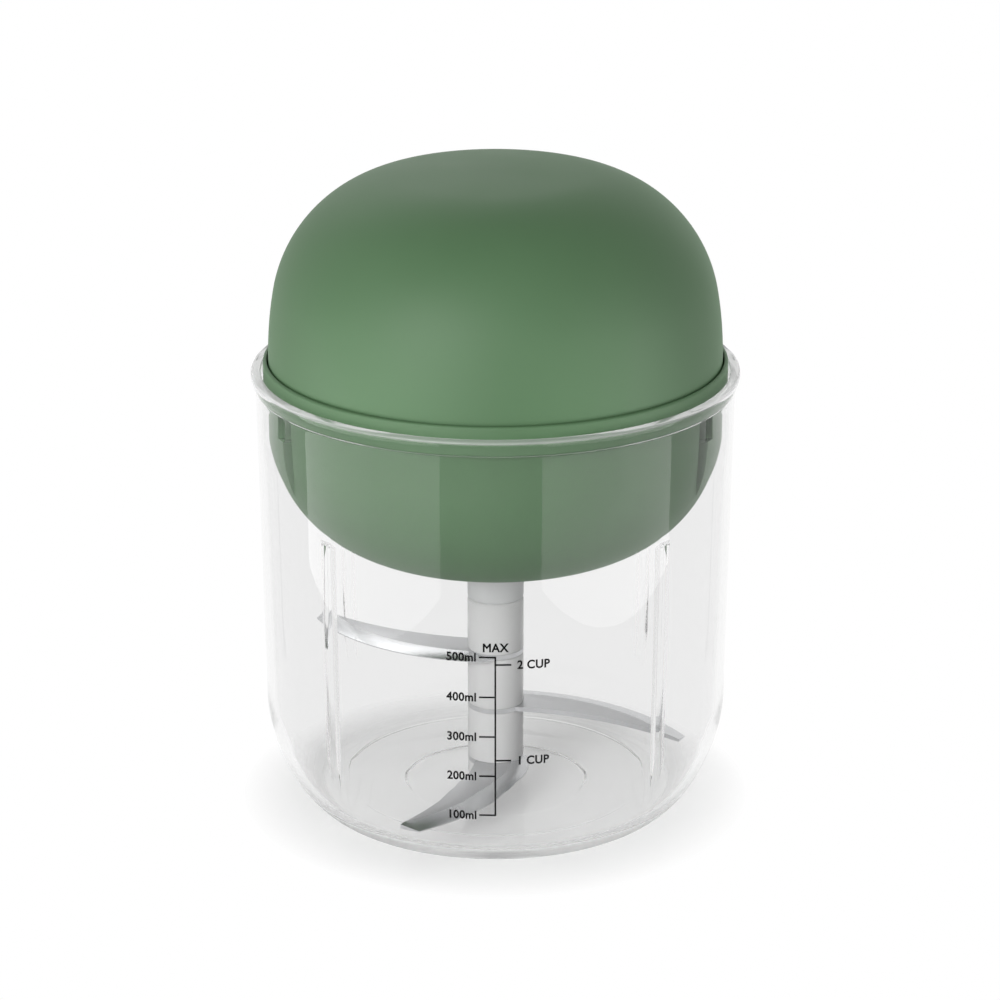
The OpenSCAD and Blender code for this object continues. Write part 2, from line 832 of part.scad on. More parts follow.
module gear_cover() {
    sink = motor_screw_r + motor_screw_head_h;
    color("lightgray") difference() {
        union() {
            translate([0, 0, cover_z]) cylinder(h = cover_t, r = case_r);
            around(ear_turns, case_ear_at)
                translate([0, 0, cover_z]) cylinder(h = cover_t, r = post_r);
        }
        translate([0, 0, cover_z - eps])
            cylinder(h = cover_t + 2 * eps, r = motor_bush_r + fit_gap);
        around(motor_screw_turns, motor_screw_at) {
            translate([0, 0, cover_z - eps])
                cylinder(h = cover_t + 2 * eps, r = motor_screw_r + fit_gap);
            translate([0, 0, cover_z])
                cylinder(h = motor_screw_head_h, r1 = sink + fit_gap, r2 = motor_screw_r + fit_gap);
        }
        ear_holes(cover_z, cover_t);
    }
}

module gear_case_screws() {
    color("dimgray") around(ear_turns, case_ear_at)
        translate([0, 0, motor_z]) pan_screw(motor_z - case_z + case_screw_in);
}

// Motor

module motor_can() {
    color("silver") difference() {
        translate([0, 0, motor_z]) cylinder(h = motor_l, r = motor_r);
        translate([0, 0, motor_z + can_floor]) cylinder(h = motor_l, r = motor_r - can_wall);
        translate([0, 0, motor_z - eps])
            cylinder(h = can_floor + 2 * eps, r = motor_bush_r + fit_gap);
        around(motor_screw_turns, motor_screw_at)
            translate([0, 0, motor_z - eps])
                cylinder(h = can_floor + 2 * eps, r = motor_screw_r + fit_gap);
    }
}

module motor_end_cap() {
    rim = 1;
    color([0.15, 0.15, 0.16]) difference() {
        union() {
            translate([0, 0, motor_top]) cylinder(h = rim, r = motor_r);
            translate([0, 0, motor_top + rim])
                cylinder(h = end_cap_h - rim, r1 = motor_r * 0.6, r2 = motor_r * 0.5);
        }
        translate([0, 0, motor_top - eps]) cylinder(h = end_cap_h + 2 * eps, r = motor_bush_r + fit_gap);
    }
}

module motor_magnets() {
    out = motor_r - can_wall - fit_gap;
    color([0.3, 0.28, 0.27]) difference() {
        ring(armature_z, armature_l, out, out - magnet_t);
        around(side_turns, 0)
            translate([0, -motor_r / 3, armature_z - eps])
                cube([motor_r, motor_r * 2 / 3, armature_l + 2 * eps]);
    }
}

module motor_bushes() {
    color("goldenrod") for (z = [cover_z + 0.3, motor_top])
        ring(z, motor_bush_h - 0.8, motor_bush_r, motor_shaft_r + run_gap);
}

module motor_screws() {
    h = motor_screw_head_h;
    color("dimgray") around(motor_screw_turns, motor_screw_at) {
        translate([0, 0, cover_z]) cylinder(h = h, r1 = motor_screw_r + h, r2 = motor_screw_r);
        translate([0, 0, cover_z + h]) cylinder(h = cover_t + motor_screw_in, r = motor_screw_r);
    }
}

// Chassis and what stands on it

module chassis() {
    color([0.22, 0.23, 0.24]) difference() {
        union() {
            translate([0, 0, chassis_z]) cylinder(h = chassis_t, r = chassis_r);
            for (x = [-1, 1])
                for (y = board_hole_y)
                    translate([x * board_hole_x, y, chassis_z])
                        cylinder(h = board_z - chassis_z, r = standoff_r);
        }
        translate([0, 0, chassis_z - eps]) {
            cylinder(h = chassis_t + 2 * eps, r = motor_r + 0.3);
            around(side_turns, cell_at) cylinder(h = chassis_t + 2 * eps, r = sleeve_r + 0.2);
            around(guide_turns, guide_at) cylinder(h = chassis_t + 2 * eps, r = peg_r + slide_gap);
            around(chassis_turns, chassis_post_at) cylinder(h = chassis_t + 2 * eps, r = screw_r + 0.2);
        }
        for (x = [-1, 1])
            for (y = board_hole_y)
                translate([x * board_hole_x, y, 0]) screw_hole(board_z, board_screw_in);
    }
}

module chassis_screws() {
    color("dimgray") around(chassis_turns, chassis_post_at)
        translate([0, 0, chassis_top]) pan_screw(chassis_t + chassis_screw_in);
}

module battery_holder() {
    color([0.12, 0.12, 0.13]) around(side_turns, cell_at) difference() {
        union() {
            translate([0, 0, sleeve_z]) cylinder(h = chassis_top + sleeve_flange_t - sleeve_z, r = sleeve_r);
            translate([0, 0, chassis_top]) cylinder(h = sleeve_flange_t, r = sleeve_flange_r);
        }
        translate([0, 0, cell_z]) cylinder(h = chassis_top, r = sleeve_r - sleeve_wall);
    }
}

module battery_cells() {
    crimp = 0.5;
    nub_r = 3;
    nub_h = 0.8;
    color([0.2, 0.4, 0.7]) around(side_turns, cell_at) translate([0, 0, cell_z]) {
        rotate_extrude() polygon([
            [0, 0], [cell_r, 0], [cell_r, cell_l - 4], [cell_r - crimp, cell_l - 3.6],
            [cell_r - crimp, cell_l - 3], [cell_r, cell_l - 2.6], [cell_r, cell_l - nub_h],
            [0, cell_l - nub_h]
        ]);
        translate([0, 0, cell_l - nub_h]) cylinder(h = nub_h, r = nub_r);
    }
}

module circuit_board() {
    chip_h = 1.2;
    coil_h = 3;
    color([0.1, 0.35, 0.2]) {
        difference() {
            translate([-board_w / 2, board_y, board_z]) cube([board_w, board_d, board_t]);
            for (x = [-1, 1])
                for (y = board_hole_y)
                    translate([x * board_hole_x, y, board_z - eps])
                        cylinder(h = board_t + 2 * eps, r = screw_r + 0.2);
        }
        translate([-6, board_y + 8, board_z + board_t]) cube([6, 6, chip_h]);
        translate([3, board_y + 8, board_z + board_t]) cube([7, 7, coil_h]);
        translate([-8, board_y + 2, board_z + board_t]) cube([5, 3, chip_h]);
    }
}

module board_screws() {
    color("dimgray")
        for (x = [-1, 1])
            for (y = board_hole_y)
                translate([x * board_hole_x, y, board_z + board_t]) pan_screw(board_t + board_screw_in);
}

// Charging port, open towards the back
module charge_port() {
    shell = 0.3;
    tongue_w = 6.7;
    tongue_h = 0.7;
    back = 1.2;
    color("silver") translate([0, port_face, port_z + port_h / 2]) rotate([90, 0, 0]) {
        difference() {
            linear_extrude(port_d) round_rect(port_w, port_h, port_h / 2 - 0.05);
            translate([0, 0, -eps]) linear_extrude(port_d - back + eps)
                round_rect(port_w - 2 * shell, port_h - 2 * shell, port_h / 2 - shell - 0.05);
        }
        translate([-tongue_w / 2, -tongue_h / 2, 1]) cube([tongue_w, tongue_h, port_d - 1]);
    }
}

module switch_body() {
    pocket_w = plunger_w + 2 * plunger_gap;
    pocket_d = plunger_d + 2 * plunger_gap;
    color([0.1, 0.1, 0.1]) difference() {
        translate([-switch_w / 2, -switch_at - switch_d / 2, chassis_top])
            cube([switch_w, switch_d, switch_h]);
        translate([-pocket_w / 2, -switch_at - pocket_d / 2, switch_top - plunger_in - press_travel])
            cube([pocket_w, pocket_d, plunger_in + press_travel + eps]);
    }
}

module switch_plunger() {
    color("firebrick")
        translate([-plunger_w / 2, -switch_at - plunger_d / 2, switch_top - plunger_in])
            cube([plunger_w, plunger_d, plunger_in + plunger_up]);
}

module return_springs() {
    color("silver") around(guide_turns, guide_at)
        translate([0, 0, chassis_top]) polyhedron(points = spring_pts(), faces = spring_faces());
}

// Planetary gears

module planet_carrier() {
    hub_r = shaft_r + 1.6;
    hub_low = case_z + fit_gap;
    color("dimgray") difference() {
        union() {
            translate([0, 0, carrier_z]) cylinder(h = carrier_t, r = carrier_r);
            translate([0, 0, hub_low]) cylinder(h = carrier_z - hub_low + eps, r = hub_r);
        }
        translate([0, 0, hub_low - eps]) cylinder(h = gear_z - hub_low, r = shaft_r + fit_gap);
        around(planet_turns, planet_at)
            translate([0, 0, carrier_z - eps]) cylinder(h = carrier_t + 2 * eps, r = planet_pin_r + fit_gap);
    }
}

module planet_pins() {
    color("silver") around(planet_turns, planet_at)
        translate([0, 0, carrier_z]) cylinder(h = cover_z - 0.3 - carrier_z, r = planet_pin_r);
}

module output_shaft() {
    color("silver") translate([0, 0, dog_bore_z])
        cylinder(h = carrier_z + carrier_t - dog_bore_z, r = shaft_r);
}

module drive_dog() {
    tip = 0.8;
    color("darkgray") difference() {
        union() {
            translate([0, 0, dog_z + tip]) cylinder(h = dog_top - dog_z - tip, r = dog_r, $fn = 6);
            translate([0, 0, dog_z]) cylinder(h = tip + fit_gap, r = dog_r * cos(30) - tip / 2);
        }
        translate([0, 0, dog_bore_z - fit_gap]) cylinder(h = dog_top, r = shaft_r + fit_gap);
    }
}

// Planet gear that stands on its own axis with a gap between teeth facing the sun
module planet(turn) {
    pitch_r = gear_m * planet_teeth / 2;
    rotate([0, 0, turn]) translate([planet_at, 0, gear_z]) difference() {
        rotate([0, 0, 180 / planet_teeth]) linear_extrude(gear_h)
            polygon(gear_pts(planet_teeth, pitch_r - gear_ded, pitch_r + gear_add, -backlash / 2));
        translate([0, 0, -eps]) cylinder(h = gear_h + 2 * eps, r = planet_pin_r + run_gap);
    }
}

module planet_gear_1() {
    color("ivory") planet(planet_turns[0]);
}

module planet_gear_2() {
    color("ivory") planet(planet_turns[1]);
}

module planet_gear_3() {
    color("ivory") planet(planet_turns[2]);
}

module sun_gear() {
    pitch_r = gear_m * sun_teeth / 2;
    color("goldenrod") translate([0, 0, gear_z]) difference() {
        linear_extrude(gear_h)
            polygon(gear_pts(sun_teeth, pitch_r - gear_ded, pitch_r + gear_add, -backlash / 2));
        translate([0, 0, -eps]) cylinder(h = gear_h + 2 * eps, r = motor_shaft_r + fit_gap);
    }
}

module motor_shaft() {
    color("silver") translate([0, 0, gear_z])
        cylinder(h = motor_top + motor_bush_h - gear_z, r = motor_shaft_r);
}

// Wound armature with three poles
module armature() {
    depth = armature_r * 0.55;
    color("peru") difference() {
        translate([0, 0, armature_z]) cylinder(h = armature_l, r = armature_r);
        around(pole_turns, armature_r - depth)
            translate([0, -pole_slot / 2, armature_z - eps])
                cube([depth + eps, pole_slot, armature_l + 2 * eps]);
        translate([0, 0, armature_z - eps]) cylinder(h = armature_l + 2 * eps, r = motor_shaft_r + fit_gap);
    }
}

module commutator() {
    z = armature_z + armature_l + 0.2;
    color("darkgoldenrod")
        ring(z, motor_top - commutator_gap - z, commutator_r, motor_shaft_r + fit_gap);
}

// Dome

module dome_solid(d, foot) {
    rotate_extrude() polygon(dome_pts(d, foot));
}

module port_slot(w, z0, z1, r) {
    translate([0, dome_r + 2, (z0 + z1) / 2]) rotate([90, 0, 0]) linear_extrude(dome_wall + 8)
        round_rect(w, z1 - z0, r);
}

module dome_cover() {
    presser_z = switch_top + plunger_up + presser_gap;
    color(green) difference() {
        union() {
            difference() {
                dome_solid(0, dome_foot);
                dome_solid(dome_wall, dome_foot - eps);
            }
            intersection() {
                dome_solid(0, peg_z);
                union() {
                    around(guide_turns, guide_at) {
                        translate([0, 0, collar_z]) cylinder(h = dome_h, r = post_collar_r);
                        translate([0, 0, peg_z]) cylinder(h = dome_h, r = peg_r);
                    }
                    translate([0, -switch_at, presser_z]) cylinder(h = dome_h, r = presser_r);
                }
            }
        }
        port_slot(slot_w, slot_z0, slot_z1, slot_round);
        around(guide_turns, guide_at)
            translate([0, 0, peg_z - eps])
                cylinder(h = dome_screw_in + screw_spare + eps, r = screw_r + fit_gap);
    }
}

module dome_screws() {
    head_r = peg_r + 1.4;
    color("dimgray") around(guide_turns, guide_at) {
        translate([0, 0, peg_z - dome_screw_head_h]) cylinder(h = dome_screw_head_h, r = head_r);
        translate([0, 0, peg_z]) cylinder(h = dome_screw_in, r = screw_r);
    }
}

// Soft flap that plugs the charging slot, flush with the dome
module port_flap() {
    color(green * 0.9) intersection() {
        difference() {
            dome_solid(0, dome_foot);
            dome_solid(flap_t, dome_foot - eps);
        }
        port_slot(slot_w - 2 * flap_gap, slot_z0 + flap_gap, slot_z1 - flap_gap, slot_round - flap_gap);
    }
}

cup();
pivot_pin();
hub_core();
pivot_bushes();
hub_base();
spacer_lower();
spacer_middle();
spacer_upper();
blade_lower();
blade_middle();
blade_upper();
drive_coupler();
lower_housing();
shaft_seal();
output_bearing();
gear_case();
gear_cover();
gear_case_screws();
motor_can();
motor_end_cap();
motor_magnets();
motor_bushes();
motor_screws();
chassis();
chassis_screws();
battery_holder();
battery_cells();
circuit_board();
board_screws();
charge_port();
switch_body();
return_springs();
planet_carrier();
planet_pins();
output_shaft();
drive_dog();
planet_gear_1();
planet_gear_2();
planet_gear_3();
sun_gear();
motor_shaft();
armature();
commutator();
dome_cover();
dome_screws();
switch_plunger();
port_flap();
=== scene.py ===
"""A cordless food chopper: clear cup, sickle blades on a stacked column, and a green domed drive head."""
import json
import math

import bmesh
import bpy
from mathutils import Matrix, Vector
from mathutils.geometry import intersect_sphere_sphere_2d


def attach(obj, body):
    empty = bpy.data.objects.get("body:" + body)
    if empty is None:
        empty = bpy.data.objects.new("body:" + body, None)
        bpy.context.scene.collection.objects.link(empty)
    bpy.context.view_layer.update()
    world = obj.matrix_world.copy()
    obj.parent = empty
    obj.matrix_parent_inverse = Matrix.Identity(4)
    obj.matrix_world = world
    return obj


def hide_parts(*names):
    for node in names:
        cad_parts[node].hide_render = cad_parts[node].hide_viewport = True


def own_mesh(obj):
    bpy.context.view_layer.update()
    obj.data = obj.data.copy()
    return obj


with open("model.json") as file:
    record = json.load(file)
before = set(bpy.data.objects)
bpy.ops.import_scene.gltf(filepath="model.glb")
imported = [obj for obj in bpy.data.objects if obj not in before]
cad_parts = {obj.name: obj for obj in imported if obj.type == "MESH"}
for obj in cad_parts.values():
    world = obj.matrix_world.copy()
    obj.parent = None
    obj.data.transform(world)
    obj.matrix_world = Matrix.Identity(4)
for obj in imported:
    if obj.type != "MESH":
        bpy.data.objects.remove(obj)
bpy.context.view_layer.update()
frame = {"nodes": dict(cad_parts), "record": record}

# Every size below is in millimetres and every angle in degrees; meshes turn to metres when they are finished
MM = 0.001
SPIN_STEPS = 192
POST_STEPS = 48
SOFT_STEPS = 4
BORE_STEPS = 64
CROWN_STEPS = 12
INSIDE_STEPS = 24
SHOULDER_STEPS = 32

# Rounding of corners, and how far a cutting tool runs past the face that it cuts
EDGE = 0.3
FINE_EDGE = 0.2
CRISP_EDGE = 0.15
CUT_PAST = 1.0

# Cup
CUP_WALL = 2.1
CUP_H = 112.0
CUP_RIM_Z = 107.5
CUP_R = 58.5
CUP_DRAFT = 1.2
RIM_R = 59.6
RIM_IN_R = 57.2
RIM_ROUND = 0.5
RIM_STEPS = 16
CORNER_H = 26.0
CORNER_POWER = 2 / 1.6
CORNER_END = 75
CORNER_STEPS = 20
CORNER_SOFT = 0.9
FOOT_R = 43.0
CORNER_W = 14.3
INNER_FOOT_R = 44.0
INNER_CORNER_Z = 27.5
INNER_CORNER_W = 11.2
INNER_CORNER_H = 23.6
FLOOR_STEP_R = 37.8
CUP_FLOOR_Z = 3.9
STEP_FLOOR_Z = 3.4
BOSS_R = 6.4
BOSS_Z = 4.8
RIB_LOW_Z = 14.0
RIB_TOP_Z = 81.0
RIB_PROUD = 2.0
RIB_FOOT = 1.0
RIB_W = 3.0
RIB_EDGE = 0.6
RIB_TURNS = (45, 135, 225, 315)
SEAT_Z = 107.8
LEDGE_R = 55.2
LEDGE_T = 1.5
LEDGE_BLEND = 11.0
LEDGE_EDGE = 0.8
BLEND_EDGE = 4.0
RECESS_R = 23.3
RECESS_D = 0.6
PIN_HOLE_R = 2.55
PIN_HOLE_Z = 1.3
PIN_HOLE_TOP_Z = 6.0
LUG_FACE_R = 52.8
LUG_H = 6.5
LUG_W = 4.0
LUG_TURNS = (-27, 27, 153, 207)

# Blade column
LEVELS = ("lower", "middle", "upper")
COLUMN_R = 7.0
COLUMN_EDGE = 0.7
CORE_BORE_R = 4.3
HUB_Z = 5.0
HUB_H = 3.3
BLADE_T = 1.2
SPACER_H = 13.5
COUPLER_H = 16.6
COUPLER_R = 8.0
COUPLER_EDGE = 0.6
NECK_Z = (4.0, 7.0)
NECK_EDGE = 1.2
CORE_TOP_Z = 3.0
SOCKET_Z = 5.0
SOCKET_R = 4.95

# Blades, drawn pointing along +X and swept back
LEAD_C = Vector((-1.5, -43.5))
LEAD_R = 52.5
TRAIL_C = Vector((-5.3, -75.3))
TRAIL_R = 71.0
ROOT_R = 7.6
ROOT_X = 3.2
BLADE_TIPS = (48, 51, 51)
BLADE_TURNS = (270, 0, 180)
BLADE_STEPS = 48
TIP_STEPS = 6
DISC_STEPS = 96
BEVEL_W = 4.5
EDGE_T = 0.25
GRIND_PAST = 3.0
BEVEL_FACING = (0.9, 0.995)

# Lower housing of the head
BOWL_R = 54.4
BOWL_WALL = 2.2
BOWL_Z = 65.1
BOWL_SHOULDER_R = 30.0
BOWL_SHOULDER_Z = 97.0
RING_R = 56.6
RING_TOP_Z = 114.7
LIP_IN_R = 55.65
RING_EDGE = 0.6
SEAT_EDGE = 0.4
FLANGE_Z = 110.0
WELL_R = 9.0
WELL_TOP_Z = 70.5
WEB_HOLE_R = 3.5
SEAL_R = 7.0
SEAL_Z = 72.0
BEARING_R = 7.5
BEARING_Z = 75.0
TURRET_R = 10.5
TURRET_Z = 80.0
GROOVE_R = 52.3
GROOVE_W = 5.0
GROOVE_LOW_Z = 80.0

# Posts inside the head
SKIN_INSET = 1.0
SCREW_HOLE_R = 1.25
POST_R = 3.4
EAR_TURNS = (45, 135, 225, 315)
EAR_AT = 21.735
EAR_HOLE_Z = 73.0
FRAME_TURNS = (60, 120, 240, 300)
FRAME_AT = 46.5
FRAME_Z = 107.0
FRAME_HOLE_Z = 97.0
PAD_T = 2.0
PAD_DROP = 1.0
GUIDE_TURNS = (45, 135, 225, 315)
GUIDE_AT = 40.0
PEG_R = 3.0
PEG_Z = 106.9
PEG_HOLE_Z = 118.9
STOP_R = 4.6
STOP_Z = 121.0
PRESSER_R = 2.2
PRESSER_AT = 30.0
PRESSER_TURNS = (-90,)
PRESSER_Z = 117.9

# Dome
DOME_R = 55.3
DOME_FOOT_Z = 112.4
DOME_TOP_Z = 161.35
DOME_WALL = 2.2
DOME_SIDE_R = 95.0
DOME_SHOULDER_R = 35.0
DOME_CROWN_R = 220.0
DOME_SIDE_STEPS = 16
DOME_CROWN_STEPS = 16
DOME_CORE_DROP = 2.0
SLOT_W = 13.0
SLOT_Z = (117.5, 126.16)
SLOT_ROUND = 2.0
SLOT_REACH = 8.0
FLAP_T = 1.5
FLAP_GAP = 0.3


# Mesh tools

class Outline:
    """A profile in the XZ plane, drawn point by point, that becomes a spun body or a slab."""

    def __init__(self, x, z):
        self.bm = bmesh.new()
        self.first = self.bm.verts.new((x, 0, z))
        self.tip = self.first
        self.softened = []

    def line(self, x, z, soft=0.0):
        """Draws straight on to a point, whose corner is rounded by soft once the profile is whole."""
        self.tip = bmesh.ops.extrude_vert_indiv(self.bm, verts=[self.tip])["verts"][0]
        self.tip.co = (x, 0, z)
        if soft:
            self.softened.append((self.tip, soft))
        return self

    def arc(self, centre, end, steps):
        """Turns the last point round a centre until it stands at the end angle."""
        x, z = centre
        start = math.atan2(self.tip.co.z - z, self.tip.co.x - x)
        swept = bmesh.ops.spin(
            self.bm, geom=[self.tip], cent=(x, 0, z), axis=(0, -1, 0),
            angle=math.radians(end) - start, steps=steps,
        )
        self.tip = swept["geom_last"][0]
        return self

    def close(self):
        """Joins the last point to the first."""
        bmesh.ops.contextual_create(self.bm, geom=[self.tip, self.first])
        return self

    def soften(self):
        """Rounds the corners that were drawn as soft ones."""
        for corner, soft in self.softened:
            bmesh.ops.bevel(
                self.bm, geom=[corner], affect="VERTICES", offset=soft, offset_type="OFFSET",
                segments=SOFT_STEPS, profile=0.5, material=-1,
            )
        self.softened = []

    def spun(self, steps=SPIN_STEPS):
        """Spins the profile right round Z."""
        self.soften()
        bmesh.ops.spin(
            self.bm, geom=self.bm.verts[:] + self.bm.edges[:], cent=(0, 0, 0), axis=(0, 0, 1),
            angle=math.tau, steps=steps, use_merge=True,
        )
        return tidy(self.bm)

    def slab(self, width):
        """Fills the closed profile and makes it a slab of that width, centred on y = 0."""
        self.soften()
        bmesh.ops.edgeloop_fill(self.bm, edges=self.bm.edges[:])
        grown = bmesh.ops.extrude_face_region(self.bm, geom=self.bm.faces[:])
        moved = [v for v in grown["geom"] if isinstance(v, bmesh.types.BMVert)]
        bmesh.ops.translate(self.bm, verts=moved, vec=(0, width, 0))
        bmesh.ops.translate(self.bm, verts=self.bm.verts, vec=(0, -width / 2, 0))
        return tidy(self.bm)


def tidy(bm):
    """Merges doubled points and turns every face outwards."""
    bmesh.ops.remove_doubles(bm, verts=bm.verts, dist=0.001)
    bmesh.ops.recalc_face_normals(bm, faces=bm.faces)
    return bm


def turned(bm, angle, axis="Z"):
    """Turns a mesh about an axis through the origin."""
    bmesh.ops.rotate(bm, verts=bm.verts, cent=(0, 0, 0), matrix=Matrix.Rotation(math.radians(angle), 3, axis))
    return bm


def raised(bm, z):
    """Lifts a mesh."""
    bmesh.ops.translate(bm, verts=bm.verts, vec=(0, 0, z))
    return bm


def joined(meshes):
    """Puts several meshes into one."""
    whole = bmesh.new()
    for bm in meshes:
        part = bpy.data.meshes.new("part")
        bm.to_mesh(part)
        bm.free()
        whole.from_mesh(part)
        bpy.data.meshes.remove(part)
    return whole


def rod(radius, low, high, sides):
    """An upright prism or cylinder between two heights."""
    bm = bmesh.new()
    bmesh.ops.create_cone(
        bm, cap_ends=True, segments=sides, radius1=radius, radius2=radius, depth=high - low,
        matrix=Matrix.Translation((0, 0, (low + high) / 2)),
    )
    return bm


def post(radius, low, high, hole_z):
    """An upright round post with a screw hole from its top down to a height."""
    side = Outline(0, low).line(radius, low).line(radius, high, EDGE).line(SCREW_HOLE_R, high)
    return side.line(SCREW_HOLE_R, hole_z).line(0, hole_z).spun(POST_STEPS)


def ring_of(make, turns, distance):
    """Copies of a mesh, each set out from the axis and turned round it."""
    made = []
    for turn in turns:
        bm = make()
        bmesh.ops.translate(bm, verts=bm.verts, vec=(distance, 0, 0))
        made.append(turned(bm, turn))
    return made


def carve(bm, tool, operation):
    """Cuts a mesh with another, joins them or keeps what they share."""
    pair = []
    for name, source in (("blank", bm), ("tool", tool)):
        mesh = bpy.data.meshes.new(name)
        source.to_mesh(mesh)
        source.free()
        pair.append(bpy.data.objects.new(name, mesh))
        bpy.context.scene.collection.objects.link(pair[-1])
    blank, cutter = pair
    cut = blank.modifiers.new("cut", "BOOLEAN")
    cut.operation = operation
    cut.solver = "EXACT"
    cut.object = cutter
    made = bmesh.new()
    made.from_object(blank, bpy.context.evaluated_depsgraph_get())
    for used in pair:
        mesh = used.data
        bpy.data.objects.remove(used)
        bpy.data.meshes.remove(mesh)
    return tidy(made)


def piece(bm, name, body, finishes, nodes, sharp=30):
    """Turns a mesh in millimetres into a finished piece that rides on a body and stands for its nodes."""
    tidy(bm)
    bmesh.ops.scale(bm, verts=bm.verts, vec=(MM, MM, MM))
    mesh = bpy.data.meshes.new(name)
    bm.to_mesh(mesh)
    bm.free()
    mesh.shade_smooth()
    mesh.set_sharp_from_angle(angle=math.radians(sharp))
    for material in finishes:
        mesh.materials.append(material)
    made = bpy.data.objects.new(name, mesh)
    bpy.context.scene.collection.objects.link(made)
    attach(made, body)
    if nodes:
        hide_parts(*nodes)
    return made


# Finishes

def srgb(shade):
    """Turns an sRGB hex colour into the linear colour that a socket takes."""
    channels = [int(shade[i:i + 2], 16) / 255 for i in (1, 3, 5)]
    return (*[c / 12.92 if c <= 0.04045 else ((c + 0.055) / 1.055) ** 2.4 for c in channels], 1.0)


def node(tree, kind, inputs=None, **settings):
    """Adds one node with its settings, and sets or links its inputs."""
    made = tree.nodes.new("ShaderNode" + kind)
    for setting, value in settings.items():
        setattr(made, setting, value)
    for socket, value in (inputs or {}).items():
        if isinstance(value, bpy.types.NodeSocket):
            tree.links.new(value, made.inputs[socket])
        else:
            made.inputs[socket].default_value = value
    return made


def blank_finish(name):
    """An empty material with its tree and the piece's own coordinates."""
    material = bpy.data.materials.new(name)
    material.use_nodes = True
    material.node_tree.nodes.clear()
    return material, material.node_tree, node(material.node_tree, "TexCoord").outputs["Object"]


def per_mm(size):
    """The scale of a pattern whose marks are that many millimetres apart."""
    return 1 / (size * MM)


def moulded(name, dark, pale, rough, grain, depth, cloud=18, **shader):
    """Moulded plastic: a faint cloudy tint, uneven gloss and the grain of the mould's eroded surface."""
    material, tree, place = blank_finish(name)
    flow = node(tree, "TexNoise", {"Vector": place, "Scale": per_mm(cloud), "Detail": 3.0})
    tint = node(
        tree, "Mix", {0: flow.outputs["Fac"], 6: srgb(dark), 7: srgb(pale)}, data_type="RGBA",
    )
    gloss = node(
        tree, "MapRange", {"Value": flow.outputs["Fac"], "To Min": rough - 0.06, "To Max": rough + 0.06},
    )
    eroded = node(tree, "TexNoise", {"Vector": place, "Scale": per_mm(grain), "Detail": 2.0})
    relief = node(tree, "Bump", {"Height": eroded.outputs["Fac"], "Strength": 0.6, "Distance": depth * MM})
    skin = node(tree, "BsdfPrincipled", {
        "Base Color": tint.outputs[2], "Roughness": gloss.outputs["Result"],
        "Normal": relief.outputs["Normal"], **shader,
    })
    node(tree, "OutputMaterial", {"Surface": skin.outputs["BSDF"]})
    return material


def metal(name, dark, pale, rough, stroke, depth, **shader):
    """Worked metal: fine strokes, long one way and close together the other, that break up the gloss."""
    material, tree, place = blank_finish(name)
    along, across = stroke
    drawn = node(tree, "Mapping", {
        "Vector": place, "Scale": (per_mm(along), per_mm(across), per_mm(across)),
    })
    strokes = node(tree, "TexNoise", {"Vector": drawn.outputs["Vector"], "Scale": 1.0, "Detail": 4.0})
    tint = node(
        tree, "Mix", {0: strokes.outputs["Fac"], 6: srgb(dark), 7: srgb(pale)}, data_type="RGBA",
    )
    gloss = node(
        tree, "MapRange", {"Value": strokes.outputs["Fac"], "To Min": rough - 0.03, "To Max": rough + 0.03},
    )
    relief = node(tree, "Bump", {"Height": strokes.outputs["Fac"], "Strength": 0.5, "Distance": depth * MM})
    skin = node(tree, "BsdfPrincipled", {
        "Base Color": tint.outputs[2], "Metallic": 1.0, "Roughness": gloss.outputs["Result"],
        "Normal": relief.outputs["Normal"], **shader,
    })
    node(tree, "OutputMaterial", {"Surface": skin.outputs["BSDF"]})
    return material


# Where the cup's foot turns satin, by height and by distance from the axis, and where its lip turns milky, by
# depth: a painted highlight that makes the rim's top edge show bright
FLOW_RIPPLE = 26
SATIN_Z = (9.0, 4.0)
SATIN_R = (42.0, 46.0)
SATIN_ROUGH = 0.4
POLISHED_ROUGH = 0.01
RIM_GLOW_DEPTH = (0.9, 0.4)
RIM_GLOW_CLEAR = 0.6


